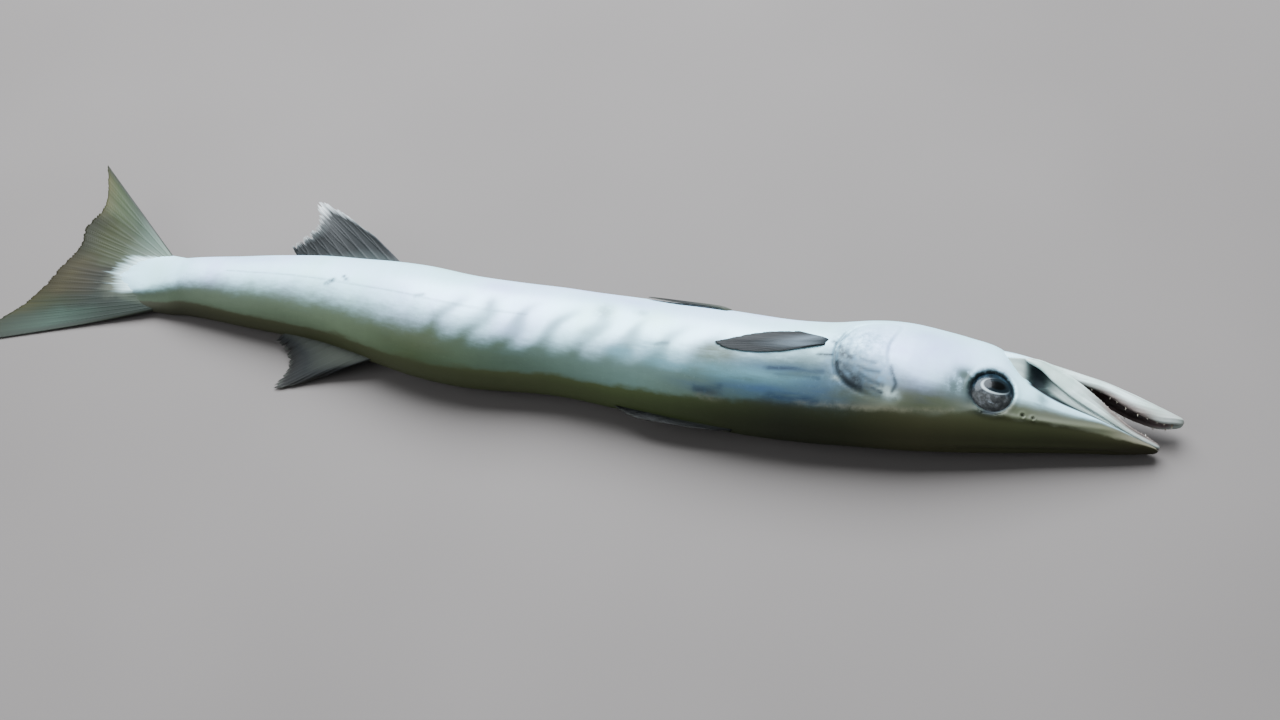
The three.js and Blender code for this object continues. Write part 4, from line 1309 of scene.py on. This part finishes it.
def fish_skin():
    """Wet fish skin under clear slime. Guanine in the flank and belly mirrors a little, silvery white with
    mint and lavender tints, and dark pigment covers the back."""
    carried = ["own", "band", "bar", "root", "lining", "scale", "edge", *MARKS]
    surface = {"IOR": 1.33, "Specular IOR Level": 0.4}
    material, tree, shader, read = new_material("wet_fish_skin", surface, carried)
    own = read["own"]

    # the bands' edges wander by some millimetres and are ragged where they cross scales
    slow = put(tree, "TexNoise", {"Vector": own, "Scale": 28, "Detail": 4})
    drawn = put(tree, "Mapping", {"Vector": own, "Scale": (0.6, 1, 1.8)})
    ragged = put(tree, "TexNoise", {"Vector": drawn, "Scale": 150, "Detail": 4, "Roughness": 0.6})
    level = put(tree, "Math", {0: slow, 1: 0.3, 2: read["band"]}, operation="MULTIPLY_ADD")
    level = put(tree, "Math", {0: ragged, 1: 0.22, 2: level}, operation="MULTIPLY_ADD")
    level = put(tree, "Math", {0: level, 1: 0.26}, operation="SUBTRACT")
    barred = put(tree, "Math", {0: read["bar"], 1: -0.2, 2: level}, operation="MULTIPLY_ADD")

    # dark back, green or blue flank and white belly, each with its own colour along the fish
    forward = put(tree, "SeparateXYZ", {0: own}, out="X")
    span = {"From Min": TAIL_ROOT_X * MM, "From Max": SNOUT_TIP_X * MM}
    forward = put(tree, "MapRange", {"Value": forward, **span})
    dark = put(tree, "ValToRGB", {"Fac": forward}, ramp=ramp_along(DARK_ALONG))
    middle = put(tree, "ValToRGB", {"Fac": forward}, ramp=ramp_along(MIDDLE_ALONG))
    # painted light: the flank is paler beside the dark back, where it turns away from the lamp overhead
    painted_light_on_flank = {"Value": level, "From Min": 1.0, "From Max": 1.5, "To Min": 1.5, "To Max": 0.92}
    painted_light_on_flank = put(tree, "MapRange", painted_light_on_flank)
    middle = put(tree, "Mix", {0: 1.0, 6: middle, 7: painted_light_on_flank}, **MULTIPLIED)
    tint = put(tree, "TexNoise", {"Vector": own, "Scale": 13, "Detail": 3})
    white = put(tree, "ValToRGB", {"Fac": tint}, ramp=[
        (0.32, "#b2dfe0"), (0.46, "#b8e5f2"), (0.58, "#c0e4fa"), (0.70, "#bccff4"),
    ])
    out_of_dark = put(tree, "MapRange", {"Value": level, "From Min": 0.9, "From Max": 1.1}, **SOFT_STEP)
    to_white = put(tree, "MapRange", {"Value": barred, "From Min": 1.25, "From Max": 2.15}, **SOFT_STEP)
    # the eye sees an even slope where the white comes in by its square
    to_white = put(tree, "Math", {0: to_white, 1: 2.2}, operation="POWER")
    colour = put(tree, "Mix", {0: out_of_dark, 6: dark, 7: middle}, **BLEND)
    colour = put(tree, "Mix", {0: to_white, 6: colour, 7: white}, **BLEND)

    # bars fade out over the white
    fading = put(tree, "Math", {0: read["bar"], 1: to_white}, operation="MULTIPLY")
    fading = put(tree, "Math", {0: fading, 1: 0.95}, operation="MULTIPLY")
    colour = put(tree, "Mix", {0: fading, 6: colour, 7: linear("#5c767f")}, **BLEND)

    # tints, marks and painted shade, the strongest last, each broken up by streaks along the fish
    lengthwise = put(tree, "Mapping", {"Vector": own, "Scale": (0.35, 1.3, 1.6)})
    streaks = put(tree, "TexNoise", {"Vector": lengthwise, "Scale": 95, "Detail": 5, "Roughness": 0.62})
    blotches = put(tree, "TexNoise", {"Vector": own, "Scale": 170, "Detail": 5, "Roughness": 0.65})
    # its name, its colour, its grain with the range that shows, and how strong it is
    for name, code, grain, low, high, share in (
        ("lavender", "#a6b4e2", slow, 0.2, 0.6, 0.8),
        ("teal", "#4b737c", streaks, 0.15, 0.6, 0.8),
        ("pearl", "#5a7a8e", blotches, 0.28, 0.66, 0.95),
        ("root", "#5d635b", streaks, 0.3, 0.6, 1.0),
        # olive tints, and the pectoral fin's painted shadow behind its tip
        ("olive", "#3f4530", streaks, 0.1, 0.6, 0.9),
        ("paler", "#9db0ac", blotches, 0.1, 0.6, 0.9),
        ("beige", "#6e6a57", blotches, 0.35, 0.7, 0.9),
        ("blue", "#2b4258", streaks, 0.15, 0.7, 0.95),
        ("navy", "#152636", streaks, 0.25, 0.6, 0.95),
        # painted shade round the eye
        ("halo", "#3b4845", blotches, 0.05, 0.5, 1.0),
        # dark marks, and painted shade in the gill cover's creases and round the eye
        ("ink", "#1b2226", blotches, 0.15, 0.5, 1.0),
        # the roof of the mouth, painted nearly black as shade
        ("lining", "#1c1617", blotches, 0.0, 0.2, 1.0),
    ):
        grained = {"Value": grain, "From Min": low, "From Max": high, "To Max": share}
        grained = put(tree, "MapRange", grained)
        strength = put(tree, "Math", {0: read[name], 1: grained}, operation="MULTIPLY")
        colour = put(tree, "Mix", {0: strength, 6: colour, 7: linear(code)}, **BLEND)

    # each scale is a little lighter or darker, its free edge is drawn by pigment, and flesh shows in fine
    # streaks across the flank
    across = put(tree, "Mapping", {"Vector": own, "Scale": (1.5, 0.25, 0.25)})
    across = put(tree, "TexNoise", {"Vector": across, "Scale": 110, "Detail": 3})
    bright = put(tree, "Math", {0: read["scale"], 1: 0.12, 2: 0.90}, operation="MULTIPLY_ADD")
    bright = put(tree, "Math", {0: across, 1: 0.10, 2: bright}, operation="MULTIPLY_ADD")
    pigment = {"Value": read["edge"], "From Min": 0.7, "From Max": 0.95, "To Max": 0.03}
    pigment = put(tree, "MapRange", pigment)
    bright = put(tree, "Math", {0: bright, 1: pigment}, operation="SUBTRACT")
    colour = put(tree, "Mix", {0: 1.0, 6: colour, 7: bright}, **MULTIPLIED)

    # the silver is smoother than the pigment
    rough = put(tree, "MapRange", {"Value": to_white, "To Min": 0.52, "To Max": 0.34})
    rough = put(tree, "Math", {0: streaks, 1: 0.1, 2: rough}, operation="MULTIPLY_ADD")
    mirror = put(tree, "Math", {0: to_white, 1: 0.2}, operation="MULTIPLY")
    tree.links.new(rough, shader.inputs["Roughness"])
    tree.links.new(mirror, shader.inputs["Metallic"])
    # slime and pores at about a millimetre
    fine = put(tree, "TexNoise", {"Vector": own, "Scale": 900, "Detail": 2})
    wear(tree, shader, colour, fine, 0.22, 0.0002)
    return material


def jaw_skin():
    """Thin wet skin over bone: white with mint outside, with a brown and pink gum, and dark flesh within."""
    surface = {"Roughness": 0.36, "IOR": 1.36, "Coat Weight": 0.15, "Coat Roughness": 0.15}
    carried = ["own", "lining", "gum", "tip", "throat"]
    material, tree, shader, read = new_material("skin_over_jaw_bone", surface, carried)
    own = read["own"]
    cloud = put(tree, "TexNoise", {"Vector": own, "Scale": 60, "Detail": 4})
    drawn = put(tree, "Mapping", {"Vector": own, "Scale": (0.25, 1, 1)})
    streaks = put(tree, "TexNoise", {"Vector": drawn, "Scale": 260, "Detail": 4, "Roughness": 0.6})
    mint = [(0.3, "#aac2b8"), (0.5, "#bed2cb"), (0.7, "#cbdad8")]
    colour = put(tree, "ValToRGB", {"Fac": cloud}, ramp=mint)
    grey = put(tree, "MapRange", {"Value": streaks, "From Min": 0.5, "From Max": 0.75, "To Max": 0.35})
    colour = put(tree, "Mix", {0: grey, 6: colour, 7: linear("#7d9290")}, **BLEND)
    # the throat's white comes forwards over the jaw
    colour = put(tree, "Mix", {0: read["throat"], 6: colour, 7: linear("#b9e2f0")}, **BLEND)
    ageing = put(tree, "Math", {0: read["tip"], 1: 0.6}, operation="MULTIPLY")
    colour = put(tree, "Mix", {0: ageing, 6: colour, 7: linear("#7d7a71")}, **BLEND)
    gum = put(tree, "ValToRGB", {"Fac": streaks}, ramp=[(0.35, "#574944"), (0.6, "#7b6e68")])
    gummed = put(tree, "Math", {0: read["gum"], 1: 0.95}, operation="MULTIPLY")
    colour = put(tree, "Mix", {0: gummed, 6: colour, 7: gum}, **BLEND)
    flesh = put(tree, "ValToRGB", {"Fac": cloud}, ramp=[(0.35, "#403533"), (0.65, "#645553")])
    colour = put(tree, "Mix", {0: read["lining"], 6: colour, 7: flesh}, **BLEND)
    wear(tree, shader, colour, streaks, 0.35, 0.0004)
    return material


def mouth_lining():
    """Wet dark flesh of the roof of the mouth, soft and wrinkled."""
    surface = {"Roughness": 0.32, "IOR": 1.36}
    material, tree, shader, read = new_material("wet_mouth_lining", surface, ["own"])
    cloud = put(tree, "TexNoise", {"Vector": read["own"], "Scale": 120, "Detail": 4})
    flesh = put(tree, "ValToRGB", {"Fac": cloud}, ramp=[(0.35, "#403533"), (0.65, "#6a5b58")])
    wear(tree, shader, flesh, cloud, 0.4, 0.0006)
    return material


def fold_skin():
    """Thin scaleless skin folded in beside the snout: wet and teal grey, with painted shade nearly black in
    its pit and painted light towards the strap.
    """
    surface = {"Roughness": 0.75, "IOR": 1.33, "Specular IOR Level": 0.2}
    material, tree, shader, read = new_material("folded_mouth_skin", surface, ["own", "dark", "pale"])
    drawn = put(tree, "Mapping", {"Vector": read["own"], "Scale": (0.2, 1, 1)})
    streaks = put(tree, "TexNoise", {"Vector": drawn, "Scale": 300, "Detail": 4})
    teal = [(0.35, "#1a2522"), (0.6, "#2f3d3a"), (0.75, "#52625e")]
    skin = put(tree, "ValToRGB", {"Fac": streaks}, ramp=teal)
    # painted light towards the strap
    colour = put(tree, "Mix", {0: read["pale"], 6: skin, 7: linear("#a9b8b2")}, **BLEND)
    # painted shade in the pit and the creases
    colour = put(tree, "Mix", {0: read["dark"], 6: colour, 7: linear("#131a1d")}, **BLEND)
    wear(tree, shader, colour, streaks, 0.35, 0.0004)
    return material


def tooth_enamel():
    """Enamel, clear and hard at the tip and yellower at the root."""
    surface = {"Roughness": 0.18, "IOR": 1.62}
    material, tree, shader, read = new_material("tooth_enamel", surface, ["height"])
    ivory = [(0.2, "#6e6250"), (0.55, "#938978"), (1.0, "#b8b3a6")]
    colour = put(tree, "ValToRGB", {"Fac": read["height"]}, ramp=ivory)
    wear(tree, shader, colour)
    return material


def eye_glass():
    """The eye under its clear wet cornea: a black pupil drawn out forwards, a silver crescent behind it,
    painted light where the iris mirrors the lamps, pale arcs of painted highlight low under the pupil,
    and a slate iris that is greyer and paler towards the back and darker towards the belly, with painted
    shade under the skin's rim there."""
    surface = {"Roughness": 0.3, "IOR": 1.34, "Specular IOR Level": 0.2}
    surface |= {"Coat Weight": 0.12, "Coat Roughness": 0.03}
    material, tree, shader, read = new_material("eye_under_cornea", surface, ["gaze"])
    gaze = read["gaze"]
    up = put(tree, "SeparateXYZ", {0: gaze}, out="Y")
    cloud = put(tree, "TexNoise", {"Vector": gaze, "Scale": 3.4, "Detail": 6, "Roughness": 0.62})
    slate = [(0.3, "#0a0f12"), (0.5, "#15222a"), (0.72, "#2b3d46")]
    clouded = [(0.3, "#1c1d20"), (0.5, "#343534"), (0.72, "#585a5c")]
    cool = put(tree, "ValToRGB", {"Fac": cloud}, ramp=slate)
    warm = put(tree, "ValToRGB", {"Fac": cloud}, ramp=clouded)
    # darker towards the belly, painted shade under the skin's rim there
    backwards = put(tree, "MapRange", {"Value": up, "From Min": -0.2, "From Max": 0.3}, **SOFT_STEP)
    colour = put(tree, "Mix", {0: backwards, 6: cool, 7: warm}, **BLEND)
    # painted highlights: pale arcs low under the pupil
    arc = put(tree, "Mapping", {"Vector": gaze, "Location": (-0.1, -0.05, 0), "Scale": (1, 1, 0)})
    arc = put(tree, "VectorMath", {0: arc}, out="Value", operation="LENGTH")
    arc = put(tree, "ValToRGB", {"Fac": arc}, ramp=[
        (0.48, "#000000"), (0.52, "#ffffff"), (0.56, "#000000"),
        (0.84, "#000000"), (0.87, "#ffffff"), (0.90, "#000000"),
    ])
    broken = put(tree, "MapRange", {"Value": cloud, "From Min": 0.52, "From Max": 0.62, "To Max": 0.6})
    below = put(tree, "MapRange", {"Value": up, "From Min": 0.35, "From Max": 0.6})
    arc = put(tree, "Math", {0: arc, 1: broken}, operation="MULTIPLY")
    arc = put(tree, "Math", {0: arc, 1: below}, operation="MULTIPLY")
    colour = put(tree, "Mix", {0: arc, 6: colour, 7: linear("#7d878e")}, **BLEND)
    # painted light on the silver iris: the crescent is what shows of a silver oval round a darker one in
    # front
    parts = (
        # oval's middle and half axes, its colour, and how soft its edge is
        ((0.11, -0.22), (0.62, 0.38), "#a6b3b6", 0.16),
        ((0.185, -0.27), (0.61, 0.368), "#10181c", 0.16),
        ((0.20, -0.26), (0.36, 0.21), "#020303", 0.3),
    )
    for (x, y), (long, tall), code, soft in parts:
        at = {"Location": (-x / long, -y / tall, 0), "Scale": (1 / long, 1 / tall, 0)}
        oval = put(tree, "Mapping", {"Vector": gaze, **at})
        oval = put(tree, "VectorMath", {0: oval}, out="Value", operation="LENGTH")
        within = {"Value": oval, "From Min": 1 + soft / 2, "From Max": 1 - soft / 2}
        within = put(tree, "MapRange", within)
        colour = put(tree, "Mix", {0: within, 6: colour, 7: linear(code)}, **BLEND)
    wear(tree, shader, colour)
    return material


RAY_JOINTS = 260.0  # how close together the joints of a ray are


def fin_membrane(name, ramps, edges, skin=None):
    """Wet fin membrane over horny rays, which are ringed by fine joints. Its colour goes by how far along
    the rays and across the fin a place lies: each ramp runs from the root to the tips, and holds round its
    place across. The two colours of skin, dark and white, are for a fin that the skin partly covers."""
    surface = {"Roughness": 0.5, "IOR": 1.36, "Specular IOR Level": 0.3}
    carried = ["fin", "ray", "own", *(["covered", "white"] if skin else [])]
    material, tree, shader, read = new_material(name, surface, carried)
    place, ray = read["fin"], read["ray"]
    outward = put(tree, "SeparateXYZ", {0: place}, out="Y")
    across = put(tree, "SeparateXYZ", {0: place}, out="Z")
    cloud = put(tree, "TexNoise", {"Vector": read["own"], "Scale": 48, "Detail": 4})
    drawn = put(tree, "Mapping", {"Vector": place, "Scale": (2.2, 0.8, 0)})
    streaks = put(tree, "TexNoise", {"Vector": drawn, "Scale": 1.6, "Detail": 4, "Roughness": 0.6})
    at = put(tree, "Math", {0: streaks, 1: 0.3, 2: outward}, operation="MULTIPLY_ADD")
    at = put(tree, "Math", {0: at, 1: 0.15}, operation="SUBTRACT")
    side = put(tree, "Math", {0: cloud, 1: 0.16, 2: across}, operation="MULTIPLY_ADD")
    side = put(tree, "Math", {0: side, 1: 0.08}, operation="SUBTRACT")
    colour = put(tree, "ValToRGB", {"Fac": at}, ramp=ramps[0][1])
    for (before, _), (here, ramp) in zip(ramps, ramps[1:]):
        over = put(tree, "ValToRGB", {"Fac": at}, ramp=ramp)
        share = {"Value": side, "From Min": before, "From Max": here}
        share = put(tree, "MapRange", share, **SOFT_STEP)
        colour = put(tree, "Mix", {0: share, 6: colour, 7: over}, **BLEND)
    # pigment along the leading edges
    for low, high, code, share in edges:
        edge = {"Value": across, "From Min": low, "From Max": high, "To Max": share}
        edge = put(tree, "MapRange", edge, **SOFT_STEP)
        colour = put(tree, "Mix", {0: edge, 6: colour, 7: linear(code)}, **BLEND)
    bright = {"Value": streaks, "From Min": 0.3, "From Max": 0.7, "To Min": 0.8, "To Max": 1.15}
    bright = put(tree, "MapRange", bright)
    bright = put(tree, "Math", {0: ray, 1: 0.07, 2: bright}, operation="MULTIPLY_ADD")
    colour = put(tree, "Mix", {0: 1.0, 6: colour, 7: bright}, **MULTIPLIED)
    if skin:
        # the body's skin runs out over the rays in streaks
        covered = put(tree, "Math", {0: streaks, 1: 1.1, 2: read["covered"]}, operation="MULTIPLY_ADD")
        covered = put(tree, "MapRange", {"Value": covered, "From Min": 0.75, "From Max": 1.35})
        over = {0: read["white"], 6: linear(skin[0]), 7: linear(skin[1])}
        over = put(tree, "Mix", over, **BLEND)
        colour = put(tree, "Mix", {0: covered, 6: colour, 7: over}, **BLEND)
    joints = put(tree, "Math", {0: outward, 1: RAY_JOINTS}, operation="MULTIPLY")
    joints = put(tree, "Math", {0: joints}, operation="SINE")
    joints = put(tree, "Math", {0: joints, 1: ray}, operation="MULTIPLY")
    wear(tree, shader, colour, joints, 0.15, 0.0003)
    return material


def fin_materials():
    """The membrane of each fin, by the fin's name. Ramps run from the root to the tips."""
    dark = [(0.0, "#3b3e35"), (0.3, "#2c2f28"), (0.6, "#141615"), (0.9, "#151412"), (1.0, "#33342f")]
    vent = [(0.0, "#343c3a"), (0.3, "#0e1110"), (0.75, "#0d0f0e"), (0.9, "#333635"), (1.0, "#878a88")]
    vent_tip = [(0.0, "#343b39"), (0.3, "#0f1212"), (0.8, "#1b1d1c"), (0.92, "#969a99"), (1.0, "#b2b5b4")]
    grey = [
        (0.0, "#2f3538"), (0.28, "#48535a"), (0.5, "#282e31"), (0.7, "#0e1112"), (0.85, "#0c0e0f"),
        (1.0, "#131716"),
    ]
    shaded = [(0.0, "#07090a"), (0.35, "#161b1c"), (0.6, "#262b2c"), (0.85, "#131717"), (1.0, "#131716")]
    green = [(0.0, "#5d6a5f"), (0.3, "#47544a"), (0.5, "#353f33"), (0.8, "#373f2b"), (1.0, "#403f29")]
    olive = [
        (0.0, "#6e786f"), (0.3, "#4a5449"), (0.5, "#333829"), (0.75, "#262914"), (0.92, "#1a1b0a"),
        (1.0, "#161606"),
    ]
    yellow = [
        (0.0, "#5d635b"), (0.2, "#575c53"), (0.35, "#4a4d42"), (0.5, "#1e1f18"), (0.68, "#242115"),
        (0.86, "#2b2716"), (1.0, "#242012"),
    ]
    dusk = [(0.0, "#2e3730"), (0.3, "#191f19"), (0.5, "#191f18"), (0.8, "#212516"), (1.0, "#272611")]
    mint = [(0.0, "#1a211b"), (0.3, "#171f18"), (0.6, "#25332a"), (0.85, "#1d251b"), (1.0, "#1b1e11")]
    vent_ramps = [(0.0, vent), (0.2, vent_tip), (0.3, vent_tip), (0.42, vent)]
    tail_ramps = [
        (0.08, green), (0.22, olive), (0.36, olive), (0.48, yellow), (0.6, yellow),
        (0.72, dusk), (0.84, mint),
    ]
    # edges by where they begin and end across the fin, with their colour and how strong it is
    tail_edges = [(0.03, 0.0, "#171a14", 0.85), (0.93, 1.0, "#191d15", 0.9)]
    dark_fin = fin_membrane("dark_fin_membrane", [(0, dark)], [(0.05, 0.0, "#111517", 0.6)])
    vent_fin = fin_membrane("fin_behind_vent_membrane", vent_ramps, [(0.05, 0.0, "#22272a", 0.6)])
    tail = fin_membrane("olive_fin_membrane", tail_ramps, tail_edges, ("#2c3329", "#b9d6d8"))
    grey_ramps = [(0.8, grey), (0.93, shaded)]
    grey_fin = fin_membrane("grey_fin_membrane", grey_ramps, [(0.04, 0.0, "#1c2123", 0.5)])
    return {
        "spiny_fin_of_the_back": dark_fin,
        "soft_fin_of_the_back": dark_fin,
        "fin_behind_the_vent": vent_fin,
        "tail_fin": tail,
        "pectoral_rays_left": grey_fin,
        "pectoral_rays_right": grey_fin,
        "pelvic_rays_left": dark_fin,
        "pelvic_rays_right": dark_fin,
    }


def floor_paint():
    """Matt studio floor paint, pale grey, with a faint unevenness from the roller."""
    material, tree, shader, _ = new_material("matt_floor_paint", {"Roughness": 0.75})
    own = put(tree, "TexCoord", {}, out="Object")
    cloud = put(tree, "TexNoise", {"Vector": own, "Scale": 3, "Detail": 2})
    colour = put(tree, "ValToRGB", {"Fac": cloud}, ramp=[(0.3, "#59534f"), (0.7, "#5e5854")])
    wear(tree, shader, colour)
    return material


# The stage

CAMERA_AT = (0.41444, -0.86530, 1.11597)
CAMERA_RIGHT = (0.9634, 0.2502, -0.0928)
CAMERA_UP = (-0.1379, 0.7645, 0.6294)
CAMERA_BACK = (0.2284, -0.5936, 0.7715)
LENS, SENSOR = 48.66, 36  # millimetres
FLOOR_SIZE = 14  # metres
PANELS = {
    # place, size in metres and power in watts
    "overhead": ((-0.3, 1.1, 2.1), 2.4, 380),
    "side": ((-1.6, -1.4, 1.6), 1.6, 40),
}
SURROUND = ("#dfeaf4", 0.36)
DAYLIGHT = "#e9f1fa"


def set_camera():
    """The camera as the photo's paving shows it to have stood."""
    clear_selection()
    bpy.ops.object.camera_add(location=CAMERA_AT)
    camera = bpy.context.object
    turned = Matrix((CAMERA_RIGHT, CAMERA_UP, CAMERA_BACK)).transposed().to_4x4()
    camera.matrix_world = Matrix.Translation(CAMERA_AT) @ turned
    camera.data.lens = LENS
    camera.data.sensor_width = SENSOR
    bpy.context.scene.camera = camera


def set_light():
    """Plain soft studio light: a large panel overhead, a weaker one at the side and a pale surround."""
    for name, (place, size, power) in PANELS.items():
        clear_selection()
        bpy.ops.object.light_add(type="AREA", location=place)
        lamp = bpy.context.object
        lamp.name = name
        lamp.data.size = size
        lamp.data.energy = power
        lamp.data.color = linear(DAYLIGHT)[:3]
        lamp.rotation_mode = "QUATERNION"
        lamp.rotation_quaternion = (-Vector(place)).to_track_quat("-Z", "Y")
    world = bpy.data.worlds.new("surround")
    bpy.context.scene.world = world
    world.use_nodes = True
    colour, strength = SURROUND
    background = world.node_tree.nodes["Background"]
    background.inputs["Color"].default_value = linear(colour)
    background.inputs["Strength"].default_value = strength


def set_floor():
    """The ground that the fish lies on."""
    clear_selection()
    bpy.ops.mesh.primitive_plane_add(size=FLOOR_SIZE)
    floor = bpy.context.object
    floor.name = "floor"
    floor.data.materials.append(floor_paint())


def build():
    """Everything, in the order in which the pieces need each other."""
    set_camera()
    skin = fish_skin()
    make_skin(skin)
    make_scales(skin)
    eye = eye_glass()
    for side, hand in SIDES:
        make_eye(side, hand, eye)
        make_eye_rim(side, hand, skin)
    jaw = jaw_skin()
    make_lower_jaw(jaw)
    make_upper_jaw(jaw, mouth_lining(), fold_skin())
    make_teeth(tooth_enamel())
    make_fins(fin_materials())
    set_light()
    set_floor()


build()
